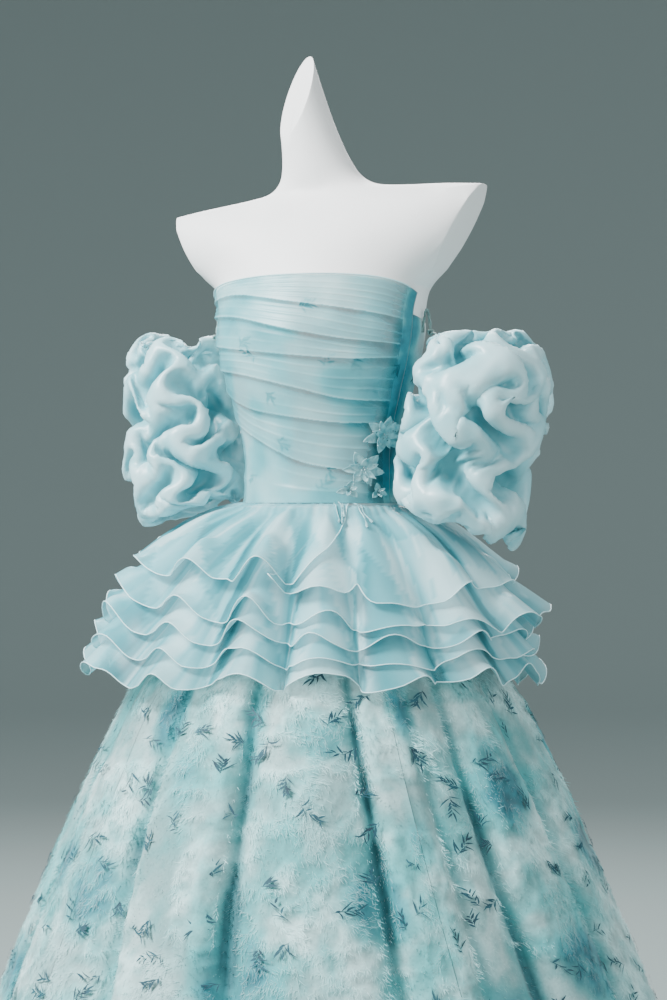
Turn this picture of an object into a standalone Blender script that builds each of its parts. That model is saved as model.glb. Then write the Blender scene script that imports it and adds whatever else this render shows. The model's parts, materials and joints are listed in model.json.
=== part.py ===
"""Strapless prom dress in organza and printed jacquard, worn on a limbless dress form with a stand.

Metres, +Z up, the front faces -Y and the wearer's left is +X. The origin is the centre of the base
plate's underside. Angles are in degrees round the body, from 0 at centre front towards the wearer's left.
"""

import math
from collections import namedtuple

import bmesh
import bpy
from mathutils import Vector

# Cloth walls and the spaces between pieces
SEAM = 0.0003
BODICE_CLEAR = 0.0006
BODICE_WALL = 0.0018
DRAPE_CLEAR = 0.0008
DRAPE_WALL = 0.0012
RUFFLE_WALL = 0.0011
SKIRT_WALL = 0.0020
SLEEVE_WALL = 0.0014

# Heights of the gown's main lines above the floor
WAIST_SEAM = 1.0500
SKIRT_TOP = 1.0290
HEM = 0.0150

# Dress form and its stand
TORSO_BOTTOM = 0.800
TORSO_COLUMNS = 40
SHOULDER_TILT = 0.061
TILT_FROM = 1.33
TILT_FULL = 1.46
ARM_CUT_TIP = (0.2310, 1.474)
ARM_CUT_BASE = (0.1600, 1.340)
NECK_CUT_POINT = (-0.0220, -0.0085, 1.690)
NECK_CUT_NORMAL = (-0.61, -0.73, 0.305)
NECK_BASE = 1.508
NECK_LEAN = (-0.185, -0.25)
POLE_RADIUS = 0.016
BASE_RADIUS = 0.185
BASE_THICKNESS = 0.012
BASE_EDGE = 0.003
ROUND_SIDES = 32

BodyRing = namedtuple("BodyRing", "front_z side_z half_width half_depth centre_x centre_y")
BODY = (
    BodyRing(0.800, 0.800, 0.1400, 0.0980, 0.000, 0.006),
    BodyRing(0.808, 0.808, 0.1520, 0.1080, 0.000, 0.006),
    BodyRing(0.850, 0.850, 0.1600, 0.1140, 0.000, 0.006),
    BodyRing(0.900, 0.900, 0.1580, 0.1130, 0.000, 0.004),
    BodyRing(0.950, 0.950, 0.1470, 0.1060, 0.000, 0.000),
    BodyRing(1.000, 1.000, 0.1280, 0.0980, 0.000, -0.003),
    BodyRing(1.050, 1.050, 0.1125, 0.0900, 0.000, -0.006),
    BodyRing(1.090, 1.090, 0.1105, 0.0875, 0.000, -0.007),
    BodyRing(1.130, 1.130, 0.1120, 0.0885, 0.000, -0.008),
    BodyRing(1.170, 1.170, 0.1200, 0.0955, 0.000, -0.010),
    BodyRing(1.210, 1.210, 0.1310, 0.1045, 0.000, -0.012),
    BodyRing(1.250, 1.250, 0.1420, 0.1120, 0.000, -0.013),
    BodyRing(1.290, 1.290, 0.1490, 0.1155, 0.000, -0.012),
    BodyRing(1.330, 1.330, 0.1520, 0.1120, 0.000, -0.009),
    BodyRing(1.372, 1.352, 0.1560, 0.1030, 0.000, -0.004),
    BodyRing(1.400, 1.376, 0.1840, 0.0960, 0.000, 0.002),
    BodyRing(1.422, 1.404, 0.2180, 0.0900, 0.000, 0.006),
    BodyRing(1.440, 1.432, 0.2440, 0.0840, 0.000, 0.010),
    BodyRing(1.455, 1.462, 0.2540, 0.0760, 0.000, 0.012),
    BodyRing(1.467, 1.483, 0.2400, 0.0670, 0.000, 0.014),
    BodyRing(1.478, 1.490, 0.1850, 0.0600, -0.002, 0.015),
    BodyRing(1.488, 1.493, 0.1300, 0.0545, -0.004, 0.015),
    BodyRing(1.497, 1.497, 0.0860, 0.0505, -0.006, 0.013),
    BodyRing(1.508, 1.508, 0.0650, 0.0490, -0.008, 0.010),
    BodyRing(1.525, 1.525, 0.0530, 0.0480, -0.008, 0.010),
    BodyRing(1.560, 1.560, 0.0440, 0.0430, -0.008, 0.010),
    BodyRing(1.600, 1.600, 0.0380, 0.0385, -0.008, 0.010),
    BodyRing(1.660, 1.660, 0.0340, 0.0350, -0.008, 0.010),
    BodyRing(1.740, 1.740, 0.0310, 0.0320, -0.008, 0.010),
)

# The bodice leaves the body's own rings above the bust, where the arms would begin
Section = namedtuple("Section", "height half_width half_depth centre_y")
BODICE_TOP_SECTIONS = (
    Section(1.330, 0.1520, 0.1120, -0.009),
    Section(1.372, 0.1670, 0.1070, -0.004),
)
BACK_ROWS = (1.0506, 1.090, 1.130, 1.170, 1.210, 1.250, 1.290)
FRONT_ROWS = BACK_ROWS + (1.314, 1.330)
ROW_SPACE = 0.004
SIDE_SEAM = 76.5
COLUMN_STEP = 360.0 / TORSO_COLUMNS

TopEdge = namedtuple("TopEdge", "angle height")
BODICE_TOP_EDGE = (
    TopEdge(-76.5, 1.344),
    TopEdge(-60.0, 1.357),
    TopEdge(-30.0, 1.367),
    TopEdge(0.0, 1.370),
    TopEdge(30.0, 1.368),
    TopEdge(54.0, 1.360),
    TopEdge(76.5, 1.344),
)
BACK_TOP_EDGE = (
    TopEdge(76.5, 1.314),
    TopEdge(100.0, 1.305),
    TopEdge(140.0, 1.296),
    TopEdge(180.0, 1.292),
)

# Concealed zip, closed, with its small pull turned down
ZIP_WIDTH = 0.0060
ZIP_TOP = 1.2880
PULL_LENGTH = 0.0120
PULL_STANDS_OUT = 0.0022
ZIP_SIDE_GAP = 0.05

# Pleats of the organza drape: the height of each pleat's edge at five angles, and how far it stands out
DRAPE_EDGES = (-74.0, 66.0)
DRAPE_ANGLES = (-74.0, -35.0, 0.0, 30.0, 66.0)
DRAPE_COLUMNS = 24
DRAPE_BOTTOM = 1.0512
DRAPE_TURN = 0.0030
Pleat = namedtuple("Pleat", "far_right right centre left far_left stands_out")
DRAPE_PLEATS = (
    Pleat(1.335, 1.343, 1.3300, 1.3190, 1.3050, 0.0030),
    Pleat(1.316, 1.311, 1.2910, 1.2770, 1.2700, 0.0045),
    Pleat(1.276, 1.266, 1.2560, 1.2500, 1.2520, 0.0045),
    Pleat(1.241, 1.231, 1.2120, 1.1950, 1.1920, 0.0045),
    Pleat(1.214, 1.184, 1.1700, 1.1620, 1.1630, 0.0040),
    Pleat(1.176, 1.142, 1.1100, 1.0980, 1.0920, 0.0030),
)
PLEAT_TUCK = 0.0060
DRAPE_FACE = BODICE_CLEAR + BODICE_WALL + DRAPE_CLEAR + DRAPE_WALL

# Skirt: five gores, with a seam and the zip's lower end at centre back
SkirtSection = namedtuple("SkirtSection", "height half_width half_depth")
SKIRT = (
    SkirtSection(0.015, 0.600, 0.600),
    SkirtSection(0.200, 0.531, 0.531),
    SkirtSection(0.347, 0.470, 0.470),
    SkirtSection(0.400, 0.450, 0.450),
    SkirtSection(0.520, 0.401, 0.401),
    SkirtSection(0.617, 0.360, 0.360),
    SkirtSection(0.690, 0.326, 0.325),
    SkirtSection(0.770, 0.287, 0.283),
    SkirtSection(0.850, 0.235, 0.228),
    SkirtSection(0.900, 0.200, 0.190),
    SkirtSection(0.950, 0.167, 0.152),
    SkirtSection(1.000, 0.138, 0.118),
    SkirtSection(1.029, 0.1216, 0.0960),
)
SKIRT_ROWS = (0.015, 0.130, 0.260, 0.390, 0.510, 0.630, 0.750, 0.850, 0.950, 1.029)
SWAY_FROM = 0.75
SKIRT_SWAY = -0.0047
GORE_COUNT = 5
GORE_COLUMNS = 16
GORE_NAMES = ("back_right", "side_right", "front", "side_left", "back_left")
FOLD_TOP = 0.95
SkirtFold = namedtuple("SkirtFold", "angle_above angle_below depth_above depth_below spread")
SKIRT_FOLDS = (
    SkirtFold(-168.0, -170.0, 0.006, 0.034, 6.0),
    SkirtFold(-141.0, -144.0, 0.005, 0.026, 6.0),
    SkirtFold(-114.0, -117.0, 0.006, 0.030, 6.0),
    SkirtFold(-86.0, -88.0, 0.004, 0.022, 7.0),
    SkirtFold(-56.0, -54.0, 0.004, 0.018, 7.0),
    SkirtFold(-23.0, -19.0, 0.006, 0.026, 8.0),
    SkirtFold(0.0, 9.0, 0.010, 0.040, 5.5),
    SkirtFold(26.0, 46.0, 0.008, 0.036, 5.5),
    SkirtFold(43.0, 57.0, 0.006, 0.014, 4.5),
    SkirtFold(53.0, 70.0, 0.008, 0.032, 5.0),
    SkirtFold(73.0, 95.0, 0.006, 0.022, 5.5),
    SkirtFold(104.0, 122.0, 0.006, 0.030, 6.0),
    SkirtFold(132.0, 143.0, 0.005, 0.024, 6.0),
    SkirtFold(160.0, 165.0, 0.006, 0.032, 6.0),
)

# Peplum: organza layers gathered into the waist, each longer than the one over it
WAVE_COLUMNS = 4
RUFFLE_FRACTIONS = (0.0, 0.34, 0.70, 1.0)
RUFFLE_STEP = 0.0027
LOWEST_GATHER = 1.0340
RUFFLE_BULGE = 0.015
RUFFLE_REACH = 0.150
SKIRT_CLEAR = 0.005
LAYER_CLEAR = 0.0045
WAVE_HEIGHT = 0.013
WAVE_REACH = 0.010
OWN_RIPPLE = 0.0025
OWN_RIPPLE_WAVES = 6
LEAST_FALL = 0.2
RuffleHem = namedtuple(
    "RuffleHem", "angle reach_1 reach_2 reach_3 reach_4 reach_5 fall_1 fall_2 fall_3 fall_4 fall_5"
)
RUFFLE_HEMS = (
    RuffleHem(-180.0, 0.262, 0.288, 0.303, 0.316, 0.330, 0.55, 0.70, 0.82, 0.93, 1.02),
    RuffleHem(-112.0, 0.265, 0.292, 0.308, 0.322, 0.338, 0.54, 0.65, 0.78, 0.89, 0.98),
    RuffleHem(-68.0, 0.264, 0.292, 0.312, 0.328, 0.344, 0.54, 0.64, 0.75, 0.85, 0.93),
    RuffleHem(-40.0, 0.258, 0.280, 0.296, 0.310, 0.324, 0.62, 0.76, 0.88, 0.98, 1.07),
    RuffleHem(-12.0, 0.250, 0.262, 0.272, 0.282, 0.292, 0.66, 0.90, 1.00, 1.10, 1.19),
    RuffleHem(15.0, 0.246, 0.256, 0.263, 0.270, 0.278, 0.72, 1.00, 1.09, 1.18, 1.26),
    RuffleHem(45.0, 0.250, 0.262, 0.270, 0.277, 0.286, 0.88, 1.05, 1.14, 1.22, 1.29),
    RuffleHem(80.0, 0.262, 0.294, 0.284, 0.290, 0.302, 0.74, 0.91, 1.04, 1.13, 1.22),
    RuffleHem(112.0, 0.268, 0.316, 0.290, 0.296, 0.310, 0.60, 0.79, 1.00, 1.11, 1.20),
    RuffleHem(145.0, 0.266, 0.296, 0.298, 0.306, 0.320, 0.57, 0.74, 0.89, 1.00, 1.09),
    RuffleHem(180.0, 0.262, 0.288, 0.303, 0.316, 0.330, 0.55, 0.70, 0.82, 0.93, 1.02),
)
Wave = namedtuple("Wave", "angle height")
RUFFLE_WAVE = (
    Wave(-180.0, 0.9),
    Wave(-153.0, 1.1),
    Wave(-128.0, 0.8),
    Wave(-101.0, 1.2),
    Wave(-76.0, 0.9),
    Wave(-52.0, 1.1),
    Wave(-27.0, 0.8),
    Wave(0.0, 1.5),
    Wave(21.0, 1.2),
    Wave(43.0, 0.9),
    Wave(66.0, 1.1),
    Wave(92.0, 0.9),
    Wave(120.0, 1.2),
    Wave(150.0, 0.8),
    Wave(180.0, 0.9),
)
WRAP_EDGE_AT_WAIST = 40.0
WRAP_EDGE_AT_HEM = 15.0
WRAP_UNDER = 12.0
WRAP_DROP = 0.07
BACK_OPENING = 0.12

# Detached puff sleeves: sections from the gathered cuff, which is tucked inside, up to the gathered head
SleeveRing = namedtuple("SleeveRing", "height centre_x centre_y half_width half_depth tilt crumple")
SLEEVE_LEFT = (
    SleeveRing(1.058, 0.2120, -0.012, 0.0490, 0.0540, 0.30, 0.02),
    SleeveRing(1.036, 0.2130, -0.013, 0.0560, 0.0640, 0.34, 0.08),
    SleeveRing(1.030, 0.2130, -0.014, 0.0720, 0.0840, 0.30, 0.12),
    SleeveRing(1.050, 0.2110, -0.014, 0.0860, 0.1020, 0.16, 0.15),
    SleeveRing(1.088, 0.2120, -0.014, 0.0900, 0.1080, 0.04, 0.16),
    SleeveRing(1.126, 0.2190, -0.014, 0.0940, 0.1120, 0.00, 0.15),
    SleeveRing(1.166, 0.2310, -0.014, 0.0950, 0.1140, 0.00, 0.17),
    SleeveRing(1.204, 0.2380, -0.012, 0.0940, 0.1110, 0.00, 0.15),
    SleeveRing(1.242, 0.2370, -0.011, 0.0840, 0.1000, 0.00, 0.16),
    SleeveRing(1.272, 0.2310, -0.009, 0.0700, 0.0820, 0.00, 0.14),
    SleeveRing(1.285, 0.2280, -0.006, 0.0570, 0.0630, 0.00, 0.06),
    SleeveRing(1.270, 0.2280, -0.006, 0.0490, 0.0540, 0.00, 0.02),
)
SLEEVE_RIGHT = (
    SleeveRing(1.068, -0.2080, -0.004, 0.0470, 0.0520, -0.28, 0.02),
    SleeveRing(1.048, -0.2080, -0.004, 0.0540, 0.0620, -0.30, 0.08),
    SleeveRing(1.044, -0.2080, -0.004, 0.0680, 0.0800, -0.26, 0.12),
    SleeveRing(1.062, -0.2120, -0.004, 0.0800, 0.0920, -0.12, 0.15),
    SleeveRing(1.096, -0.2160, -0.004, 0.0860, 0.0970, -0.03, 0.16),
    SleeveRing(1.130, -0.2170, -0.004, 0.0850, 0.0970, 0.00, 0.14),
    SleeveRing(1.168, -0.2170, -0.002, 0.0810, 0.0950, 0.00, 0.17),
    SleeveRing(1.206, -0.2200, -0.001, 0.0780, 0.0920, 0.00, 0.14),
    SleeveRing(1.242, -0.2250, 0.000, 0.0760, 0.0880, 0.00, 0.16),
    SleeveRing(1.272, -0.2280, 0.000, 0.0670, 0.0760, 0.00, 0.14),
    SleeveRing(1.286, -0.2290, 0.000, 0.0550, 0.0610, 0.00, 0.06),
    SleeveRing(1.271, -0.2290, 0.000, 0.0480, 0.0530, 0.00, 0.02),
)
SLEEVE_COLUMNS = 28
SLEEVE_CLEAR = 0.0100
PLEATS_STAND_OUT = 0.0045
CRUMPLE_LOBES = 5
CRUMPLE_TURN = 38.0
CRUMPLE_SHARE = 0.62
SMALL_LOBES = 9
SMALL_TURN = 70.0
SMALL_SHARE = 0.30

# Ties between the sleeve heads and the bodice
TIE_WIDTH = 0.0055
TIE_THICKNESS = 0.0014
TIE_ANGLE = 90.0
TIE_HEIGHT = 1.2900
TIE_REACH = 0.0120
TIE_RISE = 0.0340
TIE_END = 0.0160
TIE_STEPS = 11

# Applique flowers on the drape, and the cords with bead ends that hang from the buds
Flower = namedtuple("Flower", "angle height radius petals turn lift")
FLOWERS = {
    "flower_upper": Flower(62.0, 1.146, 0.030, 5, 20.0, 0.0050),
    "flower_lower": Flower(46.0, 1.097, 0.026, 5, 55.0, 0.0045),
    "bud_left": Flower(58.0, 1.0665, 0.0115, 3, 10.0, 0.0040),
    "bud_right": Flower(36.0, 1.0685, 0.0135, 3, 80.0, 0.0040),
}
FLOWER_CLEAR = 0.0007
PETAL_NOTCH = 0.42
PETAL_ROUNDNESS = 0.7
PETAL_STEPS = 6
PETAL_RINGS = (0.0, 0.30, 0.70, 1.0)
PETAL_EDGE = 0.0012
HEART_HEIGHT = 0.0042
CORD_RADIUS = 0.0009
BEAD_RADIUS = 0.0022
CORD_STEPS = 6
BeadCord = namedtuple("BeadCord", "angle inner_reach length over_wrap clear")
BEAD_CORDS = {
    "bead_cord_1": BeadCord(29.0, 0.112, 0.040, True, 0.0020),
    "bead_cord_2": BeadCord(43.0, 0.115, 0.060, False, 0.0008),
}

Finish = namedtuple("Finish", "red green blue roughness metallic")
FORM_WHITE = Finish(0.88, 0.90, 0.90, 0.45, 0.0)
STAND_METAL = Finish(0.75, 0.76, 0.77, 0.35, 0.9)
ORGANZA = Finish(0.42, 0.68, 0.71, 0.42, 0.0)
PRINTED_CLOTH = Finish(0.55, 0.74, 0.75, 0.70, 0.0)
JACQUARD = Finish(0.60, 0.76, 0.77, 0.85, 0.0)
ZIP_TAPE = Finish(0.35, 0.58, 0.60, 0.60, 0.0)
SATIN = Finish(0.50, 0.72, 0.73, 0.35, 0.0)


def clear_scene():
    """Empty the scene without closing the file that this script runs from."""
    for thing in list(bpy.data.objects):
        bpy.data.objects.remove(thing, do_unlink=True)


def sine(angle):
    return math.sin(math.radians(angle))


def cosine(angle):
    return math.cos(math.radians(angle))


def read(table, at):
    """A table's row at a value of its first column, on a smooth curve through the rows."""
    rows = sorted(table, key=lambda row: row[0])
    at = min(max(at, rows[0][0]), rows[-1][0])
    last = len(rows) - 1
    place = 0
    while place < last - 1 and at > rows[place + 1][0]:
        place += 1
    low, high = rows[place], rows[place + 1]
    before = rows[max(place - 1, 0)]
    after = rows[min(place + 2, last)]
    span = high[0] - low[0]
    part = (at - low[0]) / span
    values = []
    for below, start, end, above in zip(before, low, high, after):
        rise = (end - start) / span
        first = rise if before is low else (end - below) / (high[0] - before[0])
        second = rise if after is high else (above - start) / (after[0] - low[0])
        square = part * part
        cube = square * part
        values.append(
            (2 * cube - 3 * square + 1) * start
            + (cube - 2 * square + part) * span * first
            + (3 * square - 2 * cube) * end
            + (cube - square) * span * second
        )
    return type(low)(*values)


def straight(table, at):
    """A table's row at a value of its first column, on straight lines between the rows."""
    rows = sorted(table, key=lambda row: row[0])
    at = min(max(at, rows[0][0]), rows[-1][0])
    place = 0
    while place < len(rows) - 2 and at > rows[place + 1][0]:
        place += 1
    low, high = rows[place], rows[place + 1]
    part = (at - low[0]) / (high[0] - low[0])
    return type(low)(*(start + (end - start) * part for start, end in zip(low, high)))


def material(name, finish):
    """A Principled material of one plain finish."""
    made = bpy.data.materials.get(name)
    if made is None:
        made = bpy.data.materials.new(name)
        made.use_nodes = True
        shader = made.node_tree.nodes["Principled BSDF"]
        shader.inputs["Base Color"].default_value = (finish.red, finish.green, finish.blue, 1.0)
        shader.inputs["Roughness"].default_value = finish.roughness
        shader.inputs["Metallic"].default_value = finish.metallic
    return made


def keep(name, mesh_data, finish_name, finish):
    """An object of a bmesh, with its faces turned outwards, shaded smooth and given its material."""
    bmesh.ops.recalc_face_normals(mesh_data, faces=mesh_data.faces)
    mesh = bpy.data.meshes.new(name)
    mesh_data.to_mesh(mesh)
    mesh_data.free()
    mesh.materials.append(material(finish_name, finish))
    mesh.shade_smooth()
    mesh.set_sharp_from_angle(angle=math.radians(40))
    made = bpy.data.objects.new(name, mesh)
    bpy.context.scene.collection.objects.link(made)
    return made


def wall(outer, inner, closed):
    """A closed wall between two grids of points, rows by columns; closed joins the last column to the first."""
    made = bmesh.new()
    sides = []
    for grid in (outer, inner):
        sides.append([[made.verts.new(point) for point in row] for row in grid])
    rows = len(outer)
    columns = len(outer[0])
    steps = columns if closed else columns - 1
    for row in range(rows - 1):
        for column in range(steps):
            following = (column + 1) % columns
            for side in sides:
                made.faces.new(
                    (side[row][column], side[row][following], side[row + 1][following], side[row + 1][column])
                )
    front, back = sides
    for row in (0, rows - 1):
        for column in range(steps):
            following = (column + 1) % columns
            made.faces.new((front[row][column], front[row][following], back[row][following], back[row][column]))
    if not closed:
        for column in (0, columns - 1):
            for row in range(rows - 1):
                made.faces.new((front[row][column], front[row + 1][column], back[row + 1][column], back[row][column]))
    return made


def turned(profile, sides, centre=(0.0, 0.0)):
    """A solid turned round a vertical axis; the profile is (radius, height) from its lower end to its upper one."""
    made = bmesh.new()
    rings = []
    for radius, height in profile:
        ring = []
        for side in range(sides):
            angle = 360.0 * side / sides
            ring.append(made.verts.new((centre[0] + radius * cosine(angle), centre[1] + radius * sine(angle), height)))
        rings.append(ring)
    for lower, upper in zip(rings, rings[1:]):
        for side in range(sides):
            following = (side + 1) % sides
            made.faces.new((lower[side], lower[following], upper[following], upper[side]))
    made.faces.new(rings[0])
    made.faces.new(rings[-1])
    return made


def angles_between(start, end, fixed_step):
    """Both ends, and every multiple of a step that lies between them."""
    marks = [start]
    mark = (math.floor(start / fixed_step) + 1) * fixed_step
    while mark < end - 0.5:
        if mark > start + 0.5:
            marks.append(mark)
        mark += fixed_step
    marks.append(end)
    return marks


# Dress form


def shoulder_shift(x, height):
    """How far the tilt of the shoulders moves a point up or down."""
    share = min(max((height - TILT_FROM) / (TILT_FULL - TILT_FROM), 0.0), 1.0)
    return SHOULDER_TILT * x * share


def body_ring(ring, angle):
    """A point on one ring of the dress form."""
    height = ring.front_z + (ring.side_z - ring.front_z) * sine(angle) ** 2
    above = max(ring.front_z - NECK_BASE, 0.0)
    x = ring.centre_x + NECK_LEAN[0] * above + ring.half_width * sine(angle)
    y = ring.centre_y + NECK_LEAN[1] * above - ring.half_depth * cosine(angle)
    return Vector((x, y, height + shoulder_shift(x, height)))


def cut_flat(made, point, normal, lowest):
    """Cut the part of a solid above a height by a plane, drop what lies on the normal's side and close the cut."""
    verts = [vert for vert in made.verts if vert.co.z > lowest]
    edges = [edge for edge in made.edges if min(vert.co.z for vert in edge.verts) > lowest]
    faces = [face for face in made.faces if min(vert.co.z for vert in face.verts) > lowest]
    geometry = verts + edges + faces
    bmesh.ops.bisect_plane(
        made, geom=geometry, plane_co=Vector(point), plane_no=Vector(normal).normalized(), clear_outer=True
    )
    rim = [edge for edge in made.edges if edge.is_boundary]
    bmesh.ops.contextual_create(made, geom=rim)


def build_torso():
    """Limbless torso with a slanted neck end and flat oval arm ends."""
    made = bmesh.new()
    rings = []
    for ring in BODY:
        points = [body_ring(ring, COLUMN_STEP * column) for column in range(TORSO_COLUMNS)]
        rings.append([made.verts.new(point) for point in points])
    for lower, upper in zip(rings, rings[1:]):
        for column in range(TORSO_COLUMNS):
            following = (column + 1) % TORSO_COLUMNS
            made.faces.new((lower[column], lower[following], upper[following], upper[column]))
    made.faces.new(rings[0])
    made.faces.new(rings[-1])
    run = ARM_CUT_TIP[0] - ARM_CUT_BASE[0]
    rise = ARM_CUT_TIP[1] - ARM_CUT_BASE[1]
    for side in (1, -1):
        tip = (side * ARM_CUT_TIP[0], 0.0, ARM_CUT_TIP[1] + SHOULDER_TILT * side * ARM_CUT_TIP[0])
        cut_flat(made, tip, (side * rise, 0.0, -run), ARM_CUT_BASE[1])
    cut_flat(made, NECK_CUT_POINT, NECK_CUT_NORMAL, NECK_BASE)
    return keep("form_torso", made, "form_white", FORM_WHITE)


def build_stand():
    """Pole and round base plate under the torso."""
    pole = turned(((POLE_RADIUS, BASE_THICKNESS + SEAM), (POLE_RADIUS, TORSO_BOTTOM - SEAM)), ROUND_SIDES // 2)
    keep("form_pole", pole, "stand_metal", STAND_METAL)
    base = turned(
        (
            (BASE_RADIUS, 0.0),
            (BASE_RADIUS, BASE_THICKNESS - BASE_EDGE),
            (BASE_RADIUS - BASE_EDGE, BASE_THICKNESS),
        ),
        ROUND_SIDES,
    )
    keep("form_base", base, "stand_metal", STAND_METAL)


# Bodice


def body_section(height):
    """The worn cloth's section at a height: the form's ring, and a wider one over the top of the bust."""
    if height > BODICE_TOP_SECTIONS[0].height:
        return straight(BODICE_TOP_SECTIONS, height)
    ring = straight(BODY, height)
    return Section(height, ring.half_width, ring.half_depth, ring.centre_y)


def body_point(height, angle, out):
    """A point a set distance out from the body, at a height and an angle."""
    section = body_section(height)
    x = (section.half_width + out) * sine(angle)
    y = section.centre_y - (section.half_depth + out) * cosine(angle)
    return Vector((x, y, height))


def bodice_panel(name, start, end, rows, top_edge):
    """A cut panel of the bodice from one seam to another, up to its top edge."""
    angles = angles_between(start, end, COLUMN_STEP)
    outer = []
    inner = []
    for row in range(len(rows) + 1):
        outer_row = []
        inner_row = []
        for angle in angles:
            top = read(top_edge, abs(angle) if top_edge is BACK_TOP_EDGE else angle).height
            if row == len(rows):
                height = top
            else:
                height = min(rows[row], top - ROW_SPACE * (len(rows) - row))
            outer_row.append(body_point(height, angle, BODICE_CLEAR + BODICE_WALL))
            inner_row.append(body_point(height, angle, BODICE_CLEAR))
        outer.append(outer_row)
        inner.append(inner_row)
    keep(name, wall(outer, inner, False), "printed_cloth", PRINTED_CLOTH)


def build_bodice():
    """Front and two back panels, parted at the side seams and by the zip at centre back."""
    gap = math.degrees(SEAM / 2 / body_section(WAIST_SEAM).half_depth)
    back = math.degrees((ZIP_WIDTH / 2 + SEAM) / body_section(WAIST_SEAM).half_width)
    bodice_panel("bodice_front", -SIDE_SEAM + gap, SIDE_SEAM - gap, FRONT_ROWS, BODICE_TOP_EDGE)
    bodice_panel("bodice_back_left", SIDE_SEAM + gap, 180.0 - back, BACK_ROWS, BACK_TOP_EDGE)
    bodice_panel("bodice_back_right", -180.0 + back, -SIDE_SEAM - gap, BACK_ROWS, BACK_TOP_EDGE)


def build_zip():
    """Concealed zip at centre back, closed, with its small pull turned down at the top."""
    outer = []
    inner = []
    heights = [height for height in BACK_ROWS if height < ZIP_TOP - PULL_LENGTH]
    heights += [ZIP_TOP - PULL_LENGTH, ZIP_TOP - PULL_LENGTH / 2, ZIP_TOP]
    for height in heights:
        over = BODICE_CLEAR + BODICE_WALL
        if height > ZIP_TOP - PULL_LENGTH:
            over += PULL_STANDS_OUT
        half = math.degrees(ZIP_WIDTH / 2 / body_section(WAIST_SEAM).half_width) - ZIP_SIDE_GAP
        columns = (180.0 - half, 180.0, 180.0 + half)
        outer.append([body_point(height, angle, over) for angle in columns])
        inner.append([body_point(height, angle, BODICE_CLEAR) for angle in columns])
    keep("back_zip", wall(outer, inner, False), "zip_tape", ZIP_TAPE)


def pleat_height(pleat, angle):
    """The height of a pleat's edge at an angle."""
    rows = [TopEdge(mark, height) for mark, height in zip(DRAPE_ANGLES, pleat[:5])]
    return read(rows, angle).height


def drape_marks(angle):
    """The drape's pleats at an angle, from the top down: each mark's height, and how far it stands out."""
    top = read(BODICE_TOP_EDGE, angle).height - DRAPE_TURN / 2
    marks = [(top, DRAPE_TURN / 2)]
    for pleat in DRAPE_PLEATS:
        height = min(pleat_height(pleat, angle), marks[-1][0] - DRAPE_TURN)
        marks.append((height, pleat.stands_out))
        marks.append((height - PLEAT_TUCK, 0.0))
    marks.append((DRAPE_BOTTOM, 0.0))
    return marks


def drape_out(height, angle):
    """How far the pleats stand out at a height and an angle."""
    marks = drape_marks(min(max(angle, DRAPE_EDGES[0]), DRAPE_EDGES[1]))
    for upper, lower in zip(marks, marks[1:]):
        if lower[0] <= height <= upper[0]:
            share = (upper[0] - height) / (upper[0] - lower[0])
            return upper[1] + (lower[1] - upper[1]) * share
    return 0.0


def build_drape():
    """Organza drape over the front, pleated across in overlapping folds."""
    start, end = DRAPE_EDGES
    outer_columns = []
    inner_columns = []
    for column in range(DRAPE_COLUMNS + 1):
        angle = start + (end - start) * column / DRAPE_COLUMNS
        marks = drape_marks(angle)
        outer_columns.append([body_point(height, angle, DRAPE_FACE + out) for height, out in marks])
        inner_columns.append([body_point(height, angle, DRAPE_FACE - DRAPE_WALL + out) for height, out in marks])
    outer = list(zip(*outer_columns))
    inner = list(zip(*inner_columns))
    keep("bodice_drape", wall(outer, inner, False), "organza", ORGANZA)


# Skirt


def fold_angle(angle, height):
    """Where a line that starts at an angle at the top of the folds has got to lower down."""
    share = min(max((FOLD_TOP - height) / (FOLD_TOP - HEM), 0.0), 1.0)
    rows = [SkirtFold(-180.0 - 14.0, -180.0 - 9.0, 0, 0, 0)]
    rows += list(SKIRT_FOLDS)
    rows.append(SkirtFold(180.0 + 12.0, 180.0 + 10.0, 0, 0, 0))
    below = straight(rows, angle).angle_below
    return angle + (below - angle) * share


def fold_depth(angle, height):
    """How far the folds draw the cloth in at an angle, which is measured at the top of the folds."""
    share = min(max((FOLD_TOP - height) / (FOLD_TOP - HEM), 0.0), 1.0)
    depth = 0.0
    for fold in SKIRT_FOLDS:
        away = (angle - fold.angle_above + 180.0) % 360.0 - 180.0
        reach = fold.depth_above * min(share * 5, 1.0) + (fold.depth_below - fold.depth_above) * share
        depth += reach * math.exp(-((away / fold.spread) ** 2))
    return depth


def skirt_point(angle, height, inside):
    """A point on the skirt; inside is how far in from its outer face."""
    section = straight(SKIRT, height)
    turned_to = fold_angle(angle, height)
    draw = fold_depth(angle, height) + inside
    x = (section.half_width - draw) * sine(turned_to)
    y = -(section.half_depth - draw) * cosine(turned_to)
    share = min(max((height - SWAY_FROM) / (SKIRT_TOP - SWAY_FROM), 0.0), 1.0)
    return Vector((x, y + SKIRT_SWAY * share, height))


def build_skirt():
    """Five flared gores, folded by their own fullness."""
    width = 360.0 / GORE_COUNT
    for gore, name in enumerate(GORE_NAMES):
        start = -180.0 + gore * width
        outer = []
        inner = []
        for height in SKIRT_ROWS:
            gap = math.degrees(SEAM / 2 / straight(SKIRT, height).half_depth)
            angles = [
                start + gap + (width - 2 * gap) * column / GORE_COLUMNS for column in range(GORE_COLUMNS + 1)
            ]
            outer.append([skirt_point(angle, height, 0.0) for angle in angles])
            inner.append([skirt_point(angle, height, SKIRT_WALL) for angle in angles])
        keep("skirt_" + name, wall(outer, inner, False), "jacquard", JACQUARD)


# Peplum


def waist_reach(angle, height):
    """How far from the axis a gathered edge at a height lies, just clear of the form."""
    point = body_point(height, angle, BODICE_CLEAR)
    return math.hypot(point.x, point.y)


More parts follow.
